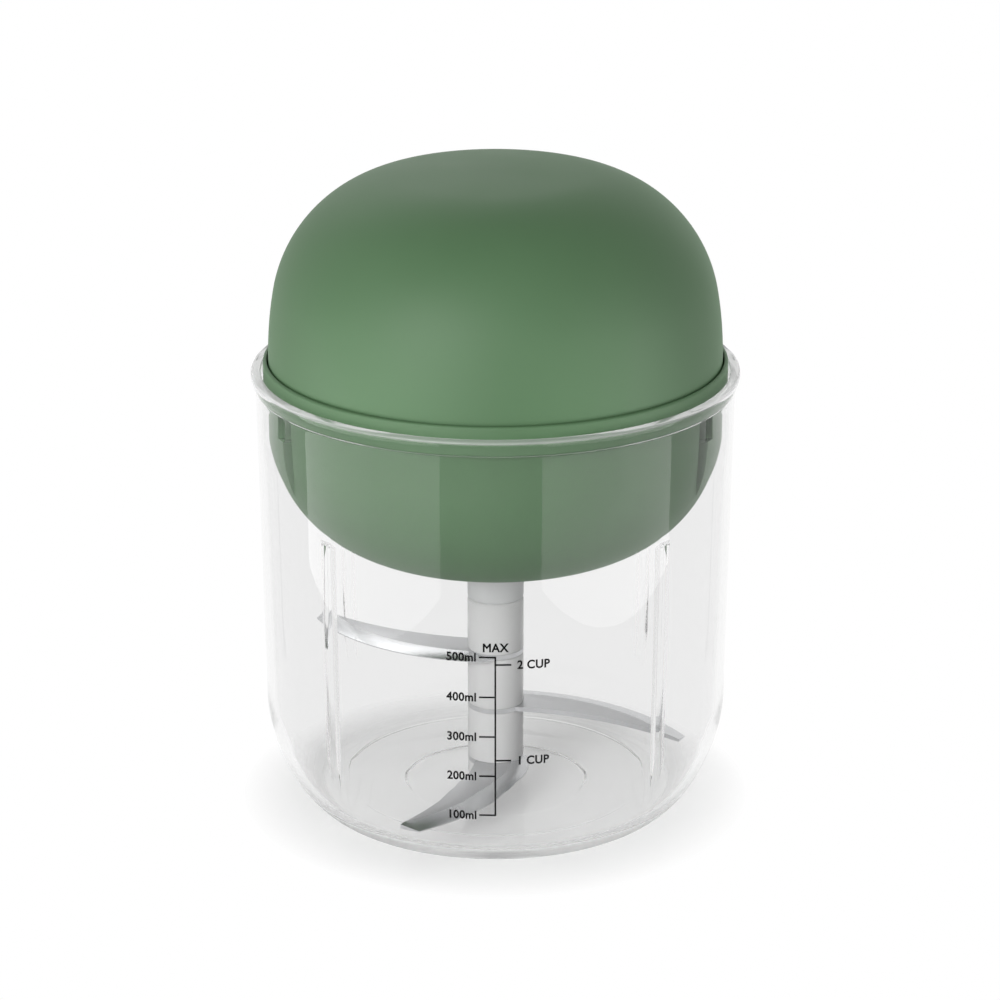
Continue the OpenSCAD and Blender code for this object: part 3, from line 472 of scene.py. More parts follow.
def clear_copolyester():
    """Clear copolyester, polished mould: bright inside, faint flow ripple, satin foot, and a rim made milky
    as a painted highlight.
    """
    material, tree, place = blank_finish("clear_copolyester")
    flow = node(tree, "TexNoise", {"Vector": place, "Scale": per_mm(FLOW_RIPPLE), "Detail": 0.0})
    ripple = node(tree, "Bump", {"Height": flow.outputs["Fac"], "Strength": 0.1, "Distance": 0.1 * MM})
    height = node(tree, "SeparateXYZ", {0: place}).outputs["Z"]
    out = node(tree, "VectorMath", {0: place, 1: (1, 1, 0)}, operation="MULTIPLY")
    out = node(tree, "VectorMath", {0: out.outputs["Vector"]}, operation="LENGTH")
    low = node(tree, "MapRange", {
        "Value": height, "From Min": SATIN_Z[0] * MM, "From Max": SATIN_Z[1] * MM,
    })
    wide = node(tree, "MapRange", {
        "Value": out.outputs["Value"], "From Min": SATIN_R[0] * MM, "From Max": SATIN_R[1] * MM,
    })
    satin = node(
        tree, "Math", {0: low.outputs["Result"], 1: wide.outputs["Result"]}, operation="MULTIPLY",
    )
    gloss = node(tree, "MapRange", {
        "Value": satin.outputs[0], "To Min": POLISHED_ROUGH, "To Max": SATIN_ROUGH,
    })
    # Painted highlight: the top of the lip is made less clear, so its milky white shows bright like a lit rim
    # edge
    rim_glow = node(tree, "MapRange", {
        "Value": height, "From Min": (CUP_H - RIM_GLOW_DEPTH[0]) * MM, "From Max": (CUP_H - RIM_GLOW_DEPTH[1]) * MM,
        "To Min": 1.0, "To Max": RIM_GLOW_CLEAR,
    })
    wall = node(tree, "BsdfPrincipled", {
        "Base Color": srgb("#F5F5F5"), "Roughness": gloss.outputs["Result"], "IOR": 1.25,
        "Transmission Weight": rim_glow.outputs["Result"], "Normal": ripple.outputs["Normal"],
    })
    passing = node(tree, "BsdfTransparent", {"Color": srgb("#FAFAFA")})
    path = node(tree, "LightPath")
    shown = node(tree, "MixShader", {
        0: path.outputs["Is Shadow Ray"], 1: wall.outputs["BSDF"], 2: passing.outputs["BSDF"],
    })
    depth = node(tree, "VolumeAbsorption", {"Color": srgb("#BDBDBD"), "Density": 3.0})
    node(tree, "OutputMaterial", {"Surface": shown.outputs["Shader"], "Volume": depth.outputs["Volume"]})
    return material


def screen_ink():
    """Black screen ink on the cup: matt, a little thinner in places."""
    return moulded(
        "screen_ink", "#060606", "#0E0E0F", 0.7, 0.3, 0.01, cloud=2, **{"Specular IOR Level": 0.1},
    )


FINISHES = {
    # Clear copolyester: see-through, with a satin foot and a lip made milky as a painted highlight
    "clear_plastic": clear_copolyester(),
    # Moulded ABS with a satin mould: soft broad highlights on sage green
    "green_plastic": moulded("satin_green_abs", "#547752", "#5A7D58", 0.57, 0.8, 0.003, IOR=1.45),
    # Moulded silicone: the same green, darker and matt
    "green_rubber": moulded("matt_green_silicone", "#4A6949", "#52714F", 0.7, 0.35, 0.02),
    # Translucent polypropylene: milky, the core tube shows through it
    "frosted_plastic": moulded(
        "milky_polypropylene", "#F8F8F8", "#FDFDFD", 0.25, 0.6, 0.002,
        **{"Transmission Weight": 0.2, "IOR": 1.3},
    ),
    # Natural acetal: off-white and waxy
    "natural_plastic": moulded("natural_acetal", "#DDDFDC", "#E8E9E6", 0.4, 0.5, 0.01),
    # Glass-filled nylon: pale grey with a dry sheen
    "grey_plastic": moulded("grey_nylon", "#E2E3E4", "#EAEBEB", 0.45, 0.4, 0.015),
    # Moulded ABS from a plain mould: black with an even satin gloss
    "black_plastic": moulded("black_abs", "#1C1D1F", "#26272A", 0.4, 0.5, 0.012),
    # Moulded acetal: bright red and slightly waxy
    "red_plastic": moulded("red_acetal", "#A8201C", "#B82823", 0.35, 0.5, 0.01),
    # Nitrile rubber: black and dull
    "black_rubber": moulded("nitrile_rubber", "#161617", "#202021", 0.75, 0.3, 0.02),
    # Rolled stainless sheet: pale grey, with faint rolling lines
    "blade_steel": metal("rolled_stainless", "#BCBDBE", "#C2C2C4", 0.36, (9, 0.35), 0.0005),
    # Ground and polished steel: bright, with fine grinding lines
    "polished_steel": metal("ground_steel", "#C4C5C8", "#D0D1D3", 0.18, (0.4, 4), 0.003),
    # Zinc-plated steel: grey with a slight blue cast
    "zinc_steel": metal("zinc_plated_steel", "#A9AEB4", "#BBC0C5", 0.38, (2.5, 2.5), 0.006),
    # Sintered bronze: brown gold with open pores
    "bronze": metal("sintered_bronze", "#8C6A3C", "#A5814E", 0.45, (0.5, 0.5), 0.02),
    # Enamelled copper wire: glossy red brown turns, drawn coarse enough to show
    "copper_winding": metal("enamelled_copper", "#9A5230", "#B9683F", 0.28, (0.4, 8), 0.04),
    # Pressed ferrite: dark grey and granular
    "ferrite": moulded("pressed_ferrite", "#2B2B2D", "#37373A", 0.65, 0.4, 0.03),
    # Heat-shrink wrap on the cells: smooth blue film
    "cell_wrap": moulded("shrink_wrap", "#1F4F8C", "#265A9A", 0.3, 4, 0.05),
    # Glass-fibre board under solder mask: green and glossy, with the weave just showing
    "board_laminate": moulded("solder_mask", "#124A2B", "#175634", 0.32, 0.8, 0.02),
}
# Ground stainless on the blade's bevel: brighter than the rolled face
GROUND_EDGE = metal("ground_stainless", "#CCCDCF", "#D8D9DA", 0.22, (0.3, 3), 0.001)


# Cup

def cup_out_at(z):
    """Outer radius of the cup wall above its corner."""
    return CUP_R - CUP_DRAFT * (CUP_RIM_Z - z) / (CUP_RIM_Z - CORNER_H)


def corner_points(centre, across, down):
    """Points of a full, rounded corner from below its centre, and the soft point where it meets the wall."""
    for i in range(CORNER_STEPS + 1):
        t = math.radians(CORNER_END) * i / CORNER_STEPS
        x = centre[0] + across * math.sin(t) ** CORNER_POWER
        z = centre[1] - down * math.cos(t) ** CORNER_POWER
        yield x, z, 0
    lean = across / down * math.tan(t) ** (CORNER_POWER - 2)
    wall_lean = CUP_DRAFT / (CUP_RIM_Z - CORNER_H)
    rise = (centre[0] + across - wall_lean * (centre[1] - z) - x) / (lean - wall_lean)
    yield x + lean * rise, z + rise, CORNER_SOFT * rise


def cup_shell():
    """The spun cup: recessed foot, rounded corner, thick rim, ledge, and the stepped floor with its boss."""
    wall = Outline(0, RECESS_D).line(RECESS_R - RECESS_D, RECESS_D, FINE_EDGE).line(RECESS_R, 0, FINE_EDGE)
    for point in corner_points((FOOT_R, CORNER_H), CORNER_W, CORNER_H):
        wall.line(*point)
    swell_h = CUP_H - CUP_RIM_Z - 2 * RIM_ROUND
    for i in range(RIM_STEPS):
        swell = (1 - math.cos(math.pi * i / RIM_STEPS)) / 2
        wall.line(CUP_R + (RIM_R - CUP_R) * swell, CUP_RIM_Z + swell_h * i / RIM_STEPS)
    wall.line(RIM_R, CUP_H, RIM_ROUND).line(RIM_IN_R, CUP_H, EDGE)
    wall.line(RIM_IN_R, SEAT_Z, FINE_EDGE).line(LEDGE_R, SEAT_Z, FINE_EDGE)
    wall.line(LEDGE_R, SEAT_Z - LEDGE_T, LEDGE_EDGE)
    blend_z = SEAT_Z - LEDGE_T - LEDGE_BLEND
    wall.line(cup_out_at(blend_z) - CUP_WALL, blend_z, BLEND_EDGE)
    inner_corner = corner_points((INNER_FOOT_R, INNER_CORNER_Z), INNER_CORNER_W, INNER_CORNER_H)
    for point in reversed(list(inner_corner)):
        wall.line(*point)
    wall.line(FLOOR_STEP_R, CUP_FLOOR_Z, CRISP_EDGE).line(FLOOR_STEP_R, STEP_FLOOR_Z, CRISP_EDGE)
    wall.line(BOSS_R, STEP_FLOOR_Z, EDGE).line(BOSS_R, BOSS_Z, EDGE).line(0, BOSS_Z)
    return wall.spun()


def cup_rib():
    """One upright rib of the cup, sunk half-way into the wall, with rounded long edges."""
    low = cup_out_at(CORNER_H) - CUP_WALL
    high = cup_out_at(RIB_TOP_Z) - CUP_WALL
    sunk = CUP_WALL / 2
    side = Outline(low - RIB_PROUD, RIB_LOW_Z).line(low - RIB_PROUD + RIB_FOOT, RIB_LOW_Z)
    side.line(low + sunk, CORNER_H).line(high + sunk, RIB_TOP_Z).line(high, RIB_TOP_Z)
    side.line(high - RIB_PROUD, RIB_TOP_Z - RIB_PROUD).close()
    bm = side.slab(RIB_W)
    half_rib = (RIB_TOP_Z - RIB_LOW_Z) / 2
    face_edges = [
        e for e in bm.edges
        if abs(e.verts[0].co.z - e.verts[1].co.z) > half_rib
        and max(v.co.x for v in e.verts) < high - RIB_PROUD / 2
    ]
    bmesh.ops.bevel(
        bm, geom=face_edges, affect="EDGES", offset=RIB_EDGE, offset_type="OFFSET",
        segments=SOFT_STEPS, profile=0.5, material=-1,
    )
    return bm


def cup_lug():
    """One lug under the rim that keys the head."""
    low = SEAT_Z - LUG_H
    root = cup_out_at(low) - CUP_WALL / 2
    side = Outline(LUG_FACE_R, low).line(LUG_FACE_R, SEAT_Z, EDGE).line(root, SEAT_Z).line(root, low)
    return side.close().slab(LUG_W)


ribs = [turned(cup_rib(), turn) for turn in RIB_TURNS]
lugs = [turned(cup_lug(), turn) for turn in LUG_TURNS]
cup_body = carve(cup_shell(), joined(ribs + lugs), "UNION")
cup_body = carve(cup_body, rod(PIN_HOLE_R, PIN_HOLE_Z, PIN_HOLE_TOP_Z, POST_STEPS), "DIFFERENCE")
piece(cup_body, "clear_cup", "cup", [FINISHES["clear_plastic"]], ["cup"])


# Printed scale on the cup wall

CAP_H = 2.05
FONT_CAP = 0.686
FONT_WIDTH = 0.93
FONT_STEPS = 4
LETTER_SPACE = 1.05
INK_T = 0.04
INK_SPREAD = 0.09
INK_LIFT = 0.01
STROKE = 0.42
SCALE_LOW_Z = 18.0
SCALE_STEP = 10.15
MILLILITRES = ("100ml", "200ml", "300ml", "400ml", "500ml")
CUPS = (("1 CUP", 32.2), ("2 CUP", 56.7))
MAX_Z = 60.0
ML_TICK = 3.9
ML_AT = 4.5
CUP_TICK = 3.8
CUP_AT = 5.2


def stroke(x0, x1, z0, z1):
    """A flat printed bar."""
    bm = bmesh.new()
    size = Matrix.Diagonal((x1 - x0, INK_T, z1 - z0, 1))
    bmesh.ops.create_cube(bm, size=1, matrix=Matrix.Translation(((x0 + x1) / 2, 0, (z0 + z1) / 2)) @ size)
    return bm


def label(words, x, z, side):
    """Printed letters with their baseline at z, set from x towards a side."""
    curve = bpy.data.curves.new("label", "FONT")
    curve.body = words
    curve.size = CAP_H / FONT_CAP
    curve.align_x = side
    curve.space_character = LETTER_SPACE
    curve.bevel_depth = INK_SPREAD
    curve.bevel_resolution = 0
    curve.resolution_u = FONT_STEPS
    holder = bpy.data.objects.new("label", curve)
    bpy.context.scene.collection.objects.link(holder)
    mesh = bpy.data.meshes.new_from_object(holder.evaluated_get(bpy.context.evaluated_depsgraph_get()))
    bm = bmesh.new()
    bm.from_mesh(mesh)
    bpy.data.objects.remove(holder)
    bpy.data.curves.remove(curve)
    bpy.data.meshes.remove(mesh)
    turned(bm, 90, "X")
    bmesh.ops.scale(bm, verts=bm.verts, vec=(FONT_WIDTH, INK_T / (2 * INK_SPREAD), 1))
    bmesh.ops.translate(bm, verts=bm.verts, vec=(x, 0, z))
    return bm


def wrapped(bm):
    """Lays flat print round the outside of the cup's front."""
    for v in bm.verts:
        radius = cup_out_at(v.co.z) + INK_LIFT + INK_T / 2 - v.co.y
        turn = v.co.x / CUP_R
        v.co.x = radius * math.sin(turn)
        v.co.y = -radius * math.cos(turn)
    return bm


half = STROKE / 2
scale_top_z = SCALE_LOW_Z + (len(MILLILITRES) - 1) * SCALE_STEP
prints = [stroke(-half, half, SCALE_LOW_Z - half, scale_top_z + half)]
for step, words in enumerate(MILLILITRES):
    height = SCALE_LOW_Z + step * SCALE_STEP
    prints.append(stroke(-ML_TICK, 0, height - half, height + half))
    prints.append(label(words, -ML_AT, height - CAP_H / 2, "RIGHT"))
for words, height in CUPS:
    prints.append(stroke(0, CUP_TICK, height - half, height + half))
    prints.append(label(words, CUP_AT, height - CAP_H / 2, "LEFT"))
prints.append(label("MAX", 0, MAX_Z, "CENTER"))
piece(wrapped(joined(prints)), "printed_scale", "cup", [screen_ink()], [])


# Blade column

def collar(height):
    """A collar of the column with a round bore and softened edges."""
    side = Outline(CORE_BORE_R, 0).line(COLUMN_R, 0, CRISP_EDGE).line(COLUMN_R, height, COLUMN_EDGE)
    return side.line(CORE_BORE_R, height).close().spun()


blade_z = [HUB_Z + HUB_H + i * (BLADE_T + SPACER_H) for i in range(len(LEVELS))]
milky = [FINISHES["frosted_plastic"]]
piece(raised(collar(HUB_H), HUB_Z), "hub_foot", "blades", milky, ["hub_base"])
for level, low in zip(LEVELS, blade_z):
    spacer = raised(collar(SPACER_H), low + BLADE_T)
    piece(spacer, f"column_{level}", "blades", milky, [f"spacer_{level}"])


def coupler():
    """The coupler on top of the column, with a six-sided socket for the drive dog."""
    side = Outline(0, 0).line(COLUMN_R, 0, COLUMN_EDGE)
    side.line(COLUMN_R, NECK_Z[0], NECK_EDGE).line(COUPLER_R, NECK_Z[1], NECK_EDGE)
    side.line(COUPLER_R, COUPLER_H, COUPLER_EDGE).line(0, COUPLER_H)
    bm = carve(side.spun(), rod(SOCKET_R, SOCKET_Z, COUPLER_H + CUT_PAST, 6), "DIFFERENCE")
    return carve(bm, rod(CORE_BORE_R, -CUT_PAST, CORE_TOP_Z, BORE_STEPS), "DIFFERENCE")


coupler_z = blade_z[-1] + BLADE_T + SPACER_H
piece(
    raised(coupler(), coupler_z), "drive_cup", "blades",
    [FINISHES["grey_plastic"]], ["drive_coupler"],
)


# Blades

def right_hand(first, second):
    """The point of two that lies further along X."""
    return first if first.x > second.x else second


def angle_from(centre, point):
    """Angle of a point about a centre."""
    return math.degrees(math.atan2(point.y - centre.y, point.x - centre.x))


def sickle(tip_r):
    """A stamped sickle blade, ground along its convex edge, on the disc that the column clamps."""
    hub = Vector((0, 0))
    lead_tip = right_hand(*intersect_sphere_sphere_2d(LEAD_C, LEAD_R, hub, tip_r))
    trail_tip = right_hand(*intersect_sphere_sphere_2d(TRAIL_C, TRAIL_R, hub, tip_r))
    slope = (tip_r - ROOT_R) / (2 * tip_r)
    root = Vector((ROOT_X, ROOT_R + ROOT_X * slope))
    trail_root_y = TRAIL_C.y + math.sqrt(TRAIL_R ** 2 - TRAIL_C.x ** 2)
    plan = Outline(0, ROOT_R).line(root.x, root.y)
    plan.line(*(LEAD_C + (root - LEAD_C).normalized() * LEAD_R))
    plan.arc(LEAD_C, angle_from(LEAD_C, lead_tip), BLADE_STEPS)
    plan.arc(hub, angle_from(hub, trail_tip), TIP_STEPS)
    plan.arc(TRAIL_C, angle_from(TRAIL_C, Vector((0, trail_root_y))), BLADE_STEPS).close()
    bm = raised(turned(plan.slab(BLADE_T), -90, "X"), BLADE_T / 2)
    past_z = EDGE_T - GRIND_PAST * (BLADE_T - EDGE_T) / BEVEL_W
    grind = Outline(LEAD_R - BEVEL_W, BLADE_T).line(LEAD_R + GRIND_PAST, past_z)
    grind.line(LEAD_R + GRIND_PAST, BLADE_T + CUT_PAST).line(LEAD_R - BEVEL_W, BLADE_T + CUT_PAST)
    grind = grind.close().spun()
    bmesh.ops.translate(grind, verts=grind.verts, vec=LEAD_C.to_3d())
    bm = carve(bm, grind, "DIFFERENCE")
    bm = carve(bm, rod(COLUMN_R, 0, BLADE_T, DISC_STEPS), "UNION")
    bm = carve(bm, rod(CORE_BORE_R, -CUT_PAST, BLADE_T + CUT_PAST, BORE_STEPS), "DIFFERENCE")
    for face in bm.faces:
        face.material_index = 1 if BEVEL_FACING[0] < face.normal.z < BEVEL_FACING[1] else 0
    return bm


steel = [FINISHES["blade_steel"], GROUND_EDGE]
for level, low, tip_r, turn in zip(LEVELS, blade_z, BLADE_TIPS, BLADE_TURNS):
    blade = raised(turned(sickle(tip_r), turn), low)
    piece(blade, f"sickle_{level}", "blades", steel, [f"blade_{level}"])


# Lower housing of the head

def bowl_arcs():
    """Radius and centre of the bowl's crown, its shoulder's centre, and the angle where the two meet."""
    out = BOWL_R - BOWL_SHOULDER_R
    drop = BOWL_SHOULDER_Z - BOWL_Z
    crown = (out * out + drop * drop - BOWL_SHOULDER_R ** 2) / (2 * (drop - BOWL_SHOULDER_R))
    crown_c = Vector((0, BOWL_Z + crown))
    shoulder_c = Vector((out, BOWL_SHOULDER_Z))
    return crown, crown_c, shoulder_c, angle_from(crown_c, shoulder_c)


def housing():
    """The bowl that hangs in the cup, its turret for seal and bearing, and the ring that sits in the rim."""
    crown, crown_c, shoulder_c, turn = bowl_arcs()
    inner = crown - BOWL_WALL
    mouth_z = crown_c.y - math.sqrt(crown ** 2 - WELL_R ** 2)
    turret_foot_z = crown_c.y - math.sqrt(inner ** 2 - TURRET_R ** 2)
    wall = Outline(WELL_R, mouth_z).arc(crown_c, turn, CROWN_STEPS).arc(shoulder_c, 0, SHOULDER_STEPS)
    wall.line(BOWL_R, SEAT_Z, SEAT_EDGE).line(RING_R, SEAT_Z, SEAT_EDGE).line(RING_R, RING_TOP_Z, RING_EDGE)
    wall.line(LIP_IN_R, RING_TOP_Z, FINE_EDGE).line(LIP_IN_R, FLANGE_Z).line(BOWL_R - BOWL_WALL, FLANGE_Z)
    wall.line(BOWL_R - BOWL_WALL, BOWL_SHOULDER_Z).arc(shoulder_c, turn, INSIDE_STEPS)
    wall.arc(crown_c, angle_from(crown_c, Vector((TURRET_R, turret_foot_z))), CROWN_STEPS)
    wall.line(TURRET_R, TURRET_Z).line(BEARING_R, TURRET_Z).line(BEARING_R, BEARING_Z)
    wall.line(SEAL_R, BEARING_Z).line(SEAL_R, SEAL_Z).line(WEB_HOLE_R, SEAL_Z)
    wall.line(WEB_HOLE_R, WELL_TOP_Z).line(WELL_R, WELL_TOP_Z).close()
    return wall.spun()


def bowl_core():
    """The room inside the middle of the bowl's wall, which trims the feet of the posts."""
    _, crown_c, shoulder_c, turn = bowl_arcs()
    side = Outline(0, BOWL_Z + SKIN_INSET).arc(crown_c, turn, CROWN_STEPS).arc(shoulder_c, 0, SHOULDER_STEPS)
    return side.line(BOWL_R - SKIN_INSET, SEAT_Z).line(0, SEAT_Z).spun()


def ear_post():
    """A post that carries the gear case."""
    return post(POST_R, BOWL_Z, TURRET_Z, EAR_HOLE_Z)


def frame_post():
    """A post that carries the inner frame."""
    return post(POST_R, BOWL_Z, FRAME_Z, FRAME_HOLE_Z)


def groove_pad():
    """The thick place behind one groove of the bowl."""
    top = FRAME_Z - PAD_DROP
    side = Outline(GROOVE_R - PAD_T, GROOVE_LOW_Z).line(BOWL_R, GROOVE_LOW_Z)
    side.line(BOWL_R, top).line(GROOVE_R - PAD_T, top)
    return side.close().slab(GROOVE_W + 2 * BOWL_WALL)


def groove():
    """The room that one groove of the bowl takes, so that the head passes a lug."""
    side = Outline(GROOVE_R, GROOVE_LOW_Z).line(GROOVE_R, SEAT_Z).line(RING_R, SEAT_Z)
    return side.line(RING_R, GROOVE_LOW_Z).close().slab(GROOVE_W)


inner_posts = ring_of(ear_post, EAR_TURNS, EAR_AT) + ring_of(frame_post, FRAME_TURNS, FRAME_AT)
inner_posts = joined(inner_posts + ring_of(groove_pad, LUG_TURNS, 0))
bowl = carve(housing(), carve(inner_posts, bowl_core(), "INTERSECT"), "UNION")
bowl = carve(bowl, joined(ring_of(groove, LUG_TURNS, 0)), "DIFFERENCE")
green = [FINISHES["green_plastic"]]
piece(bowl, "bowl_housing", "head", green, ["lower_housing"])


# Dome

def dome_inside(inset):
    """The dome's outline drawn in by an inset, from its top to its foot, and the arcs that lead back up."""
    side_c = Vector((DOME_R - DOME_SIDE_R, RING_TOP_Z))
    crown_c = Vector((0, DOME_TOP_Z - DOME_CROWN_R))
    shoulder_c = right_hand(*intersect_sphere_sphere_2d(
        side_c, DOME_SIDE_R - DOME_SHOULDER_R, crown_c, DOME_CROWN_R - DOME_SHOULDER_R,
    ))
    side_turn = angle_from(side_c, shoulder_c)
    crown_turn = angle_from(crown_c, shoulder_c)
    wall = Outline(0, DOME_TOP_Z - inset).arc(crown_c, crown_turn, CROWN_STEPS)
    wall.arc(shoulder_c, side_turn, INSIDE_STEPS).arc(side_c, 0, DOME_SIDE_STEPS)
    return wall, (
        (side_c, side_turn, DOME_SIDE_STEPS),
        (shoulder_c, crown_turn, SHOULDER_STEPS),
        (crown_c, 90, DOME_CROWN_STEPS),
    )


def dome_shell(wall_t):
    """The domed cover as a shell of that thickness: upright foot, full side, tight shoulder, flat crown."""
    wall, arcs = dome_inside(wall_t)
    wall.line(DOME_R - wall_t, DOME_FOOT_Z, EDGE).line(DOME_R, DOME_FOOT_Z, EDGE).line(DOME_R, RING_TOP_Z)
    for bend in arcs:
        wall.arc(*bend)
    return wall.spun()


def guide_peg():
    """A peg that slides in the inner frame, with the stop that its spring bears on."""
    side = Outline(SCREW_HOLE_R, PEG_Z).line(PEG_R, PEG_Z, EDGE).line(PEG_R, STOP_Z).line(STOP_R, STOP_Z)
    side.line(STOP_R, DOME_TOP_Z).line(0, DOME_TOP_Z).line(0, PEG_HOLE_Z).line(SCREW_HOLE_R, PEG_HOLE_Z)
    return side.close().spun(POST_STEPS)


def presser():
    """The post that pushes the switch."""
    return rod(PRESSER_R, PRESSER_Z, DOME_TOP_Z, POST_STEPS)


def slot_plug(gap):
    """The rounded prism of the charging slot at the back, drawn in by a gap."""
    low, high = SLOT_Z[0] + gap, SLOT_Z[1] - gap
    half = SLOT_W / 2 - gap
    soft = SLOT_ROUND - gap
    face = Outline(-half, low).line(half, low, soft).line(half, high, soft).line(-half, high, soft)
    face.softened.append((face.first, soft))
    bm = face.close().slab(DOME_WALL + SLOT_REACH)
    bmesh.ops.translate(bm, verts=bm.verts, vec=(0, DOME_R, 0))
    return bm


core, _ = dome_inside(SKIN_INSET)
core_foot_z = SEAT_Z - DOME_CORE_DROP
core = core.line(DOME_R - SKIN_INSET, core_foot_z).line(0, core_foot_z).spun()
pegs = joined(ring_of(guide_peg, GUIDE_TURNS, GUIDE_AT) + ring_of(presser, PRESSER_TURNS, PRESSER_AT))
cover = carve(dome_shell(DOME_WALL), carve(pegs, core, "INTERSECT"), "UNION")
cover = carve(cover, slot_plug(0), "DIFFERENCE")
piece(cover, "dome_shell", "dome", green, ["dome_cover"])
flap = carve(dome_shell(FLAP_T), slot_plug(FLAP_GAP), "INTERSECT")
piece(flap, "soft_flap", "flap", [FINISHES["green_rubber"]], ["port_flap"])


# Return springs, which in the head shorten as the dome goes down; here they keep their solid's shape on a
# mesh of their own

springs = bmesh.new()
springs.from_mesh(frame["nodes"]["return_springs"].data)
bmesh.ops.scale(springs, verts=springs.verts, vec=(1 / MM, 1 / MM, 1 / MM))
steel_wire = [FINISHES["polished_steel"]]
coils = piece(springs, "coil_springs", "head", steel_wire, ["return_springs"])
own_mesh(coils)


# Inner pieces keep their solids and take the finish of their slot

slot_of = {entry["node"]: entry["material_slot"] for entry in frame["record"]["subparts"]}
for name, solid in frame["nodes"].items():
    for place in solid.material_slots:
        place.link = "OBJECT"
        place.material = FINISHES[slot_of[name]]


# Floor, light and camera

FLOOR_SIZE = 6000
FLOOR_Z = -0.2
FLOOR_WHITE = 0.3
SHADOW_REACH = (46, 64)
SKY_LIGHT = 0.29
TOP_LIGHT = 0.48
TOP_FROM = 0.3
PAPER_LIT = "#A8A8A8"
PAPER_SEEN = "#E8E8E8"
WHITE = "#FFFFFF"


def seen_directly(tree):
    """One for rays from the eye, a gloss or a clear wall, nothing for the rays that light the object."""
    path = node(tree, "LightPath").outputs
    either = node(tree, "Math", {0: path["Is Camera Ray"], 1: path["Is Glossy Ray"]}, operation="MAXIMUM")
    clear = node(tree, "Math", {0: either.outputs[0], 1: path["Is Transmission Ray"]}, operation="MAXIMUM")
    unlit = node(tree, "Math", {0: path["Diffuse Depth"], 1: 1.0}, operation="LESS_THAN")
    return node(tree, "Math", {0: clear.outputs[0], 1: unlit.outputs[0]}, operation="MULTIPLY").outputs[0]


def white_floor():
    """White sweep paper: white to the eye, with only the object's shadow on it."""
    material, tree, place = blank_finish("white_paper")
    seen = seen_directly(tree)
    shade = node(tree, "Mix", {0: seen, 6: srgb(PAPER_LIT), 7: srgb(PAPER_SEEN)}, data_type="RGBA")
    paper = node(tree, "BsdfDiffuse", {"Color": shade.outputs[2]})
    lift = node(tree, "Math", {0: seen, 1: FLOOR_WHITE}, operation="MULTIPLY")
    glow = node(tree, "Emission", {"Color": srgb(WHITE), "Strength": lift.outputs[0]})
    shaded = node(tree, "AddShader", {0: paper.outputs[0], 1: glow.outputs[0]})
    away = node(tree, "VectorMath", {0: place}, operation="LENGTH")
    reach = node(tree, "MapRange", {
        "Value": away.outputs["Value"], "From Min": SHADOW_REACH[0] * MM, "From Max": SHADOW_REACH[1] * MM,
    })
    share = node(tree, "Math", {0: seen, 1: reach.outputs["Result"]}, operation="MULTIPLY")
    white = node(tree, "Emission", {"Color": srgb(WHITE), "Strength": 1.0})
    shown = node(tree, "MixShader", {0: share.outputs[0], 1: shaded.outputs[0], 2: white.outputs[0]})
    node(tree, "OutputMaterial", {"Surface": shown.outputs[0]})
    return material


floor_bm = bmesh.new()
bmesh.ops.create_grid(floor_bm, x_segments=1, y_segments=1, size=FLOOR_SIZE * MM / 2)
bmesh.ops.translate(floor_bm, verts=floor_bm.verts, vec=(0, 0, FLOOR_Z * MM))
floor_mesh = bpy.data.meshes.new("floor")
floor_bm.to_mesh(floor_mesh)
floor_bm.free()
floor_mesh.materials.append(white_floor())
floor = bpy.data.objects.new("floor", floor_mesh)
bpy.context.scene.collection.objects.link(floor)

world = bpy.data.worlds.new("studio")
world.use_nodes = True
bpy.context.scene.world = world
air = world.node_tree
air.nodes.clear()
aim = node(air, "SeparateXYZ", {0: node(air, "TexCoord").outputs["Generated"]})
upward = node(air, "MapRange", {
    "Value": aim.outputs["Z"], "From Min": TOP_FROM, "To Min": 1.0, "To Max": TOP_LIGHT,
})
shown = node(air, "MapRange", {"Value": seen_directly(air), "To Min": SKY_LIGHT, "To Max": 1.0})
level = node(air, "Math", {0: shown.outputs["Result"], 1: upward.outputs["Result"]}, operation="MULTIPLY")
sky = node(air, "Background", {"Color": srgb(WHITE), "Strength": level.outputs[0]})
node(air, "OutputWorld", {"Surface": sky.outputs[0]})


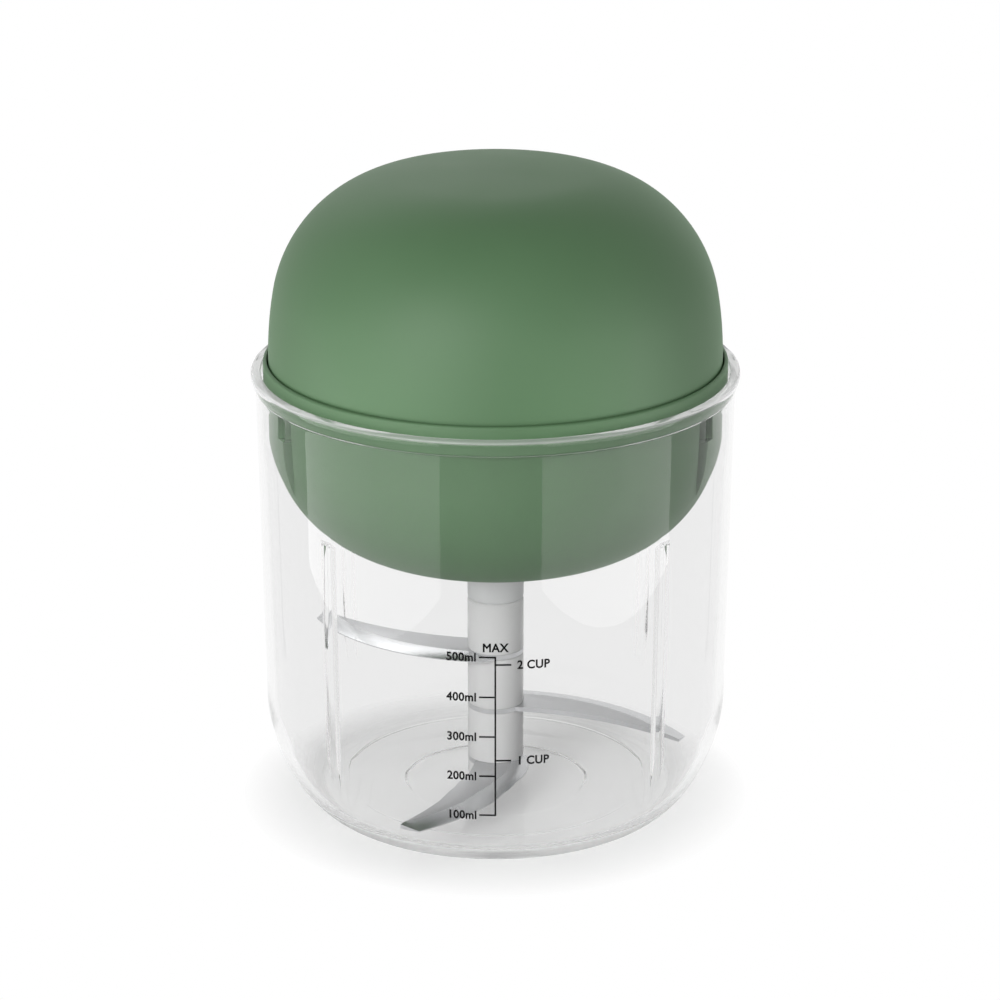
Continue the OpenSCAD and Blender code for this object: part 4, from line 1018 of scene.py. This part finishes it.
def panel(name, place, target, width, height, radiance):
    """A soft rectangular lamp that faces a point and lights surfaces, hidden from the eye."""
    data = bpy.data.lights.new(name, "AREA")
    data.shape = "RECTANGLE"
    data.size = width * MM
    data.size_y = height * MM
    data.energy = radiance * 4 * data.size * data.size_y
    lamp = bpy.data.objects.new(name, data)
    lamp.location = Vector(place) * MM
    aim = Vector(target) - Vector(place)
    lamp.rotation_euler = aim.to_track_quat("-Z", "Y").to_euler()
    lamp.visible_camera = False
    lamp.visible_transmission = False
    bpy.context.scene.collection.objects.link(lamp)
    return lamp


# Soft boxes: a key, a fill, and one behind that lights without a gleam on the dome
panel("left_key", (-370, -640, 330), (0, 0, 110), 420, 420, 5.3)
panel("right_fill", (640, -330, 260), (0, 0, 100), 420, 420, 1.1)
back_fill = panel("back_fill", (330, 640, 330), (0, 0, 110), 420, 420, 2.6)
back_fill.visible_glossy = False
# White cards, which show only in what gleams, and the one behind also through the clear wall
left_card = panel("left_card", (-149, -97, 60), (0, 0, 60), 240, 118, 2.8)
right_card = panel("right_card", (146, -120, 60), (0, 0, 60), 230, 118, 2.8)
back_card = panel("back_card", (-150, 440, 450), (-20, 0, 60), 360, 180, 1.4)
for card in (left_card, right_card, back_card):
    card.visible_diffuse = False
back_card.visible_transmission = True

CAMERA_PLACE = (1.1, -800.0, 360.1)
CAMERA_PITCH = 70.521
CAMERA_LENS = 123.525
SENSOR_W = 36.0
NEAREST = 10
CLEAR_BOUNCES = 400
view = bpy.data.cameras.new("photo_view")
view.lens = CAMERA_LENS
view.sensor_width = SENSOR_W
view.clip_start = NEAREST * MM
eye = bpy.data.objects.new("photo_view", view)
eye.location = Vector(CAMERA_PLACE) * MM
eye.rotation_euler = (math.radians(CAMERA_PITCH), 0, 0)
bpy.context.scene.collection.objects.link(eye)
bpy.context.scene.camera = eye
bpy.context.scene.view_settings.view_transform = "Standard"
# Light goes through many clear walls before it leaves the cup
bpy.context.scene.cycles.max_bounces = CLEAR_BOUNCES
bpy.context.scene.cycles.glossy_bounces = CLEAR_BOUNCES
bpy.context.scene.cycles.transmission_bounces = CLEAR_BOUNCES
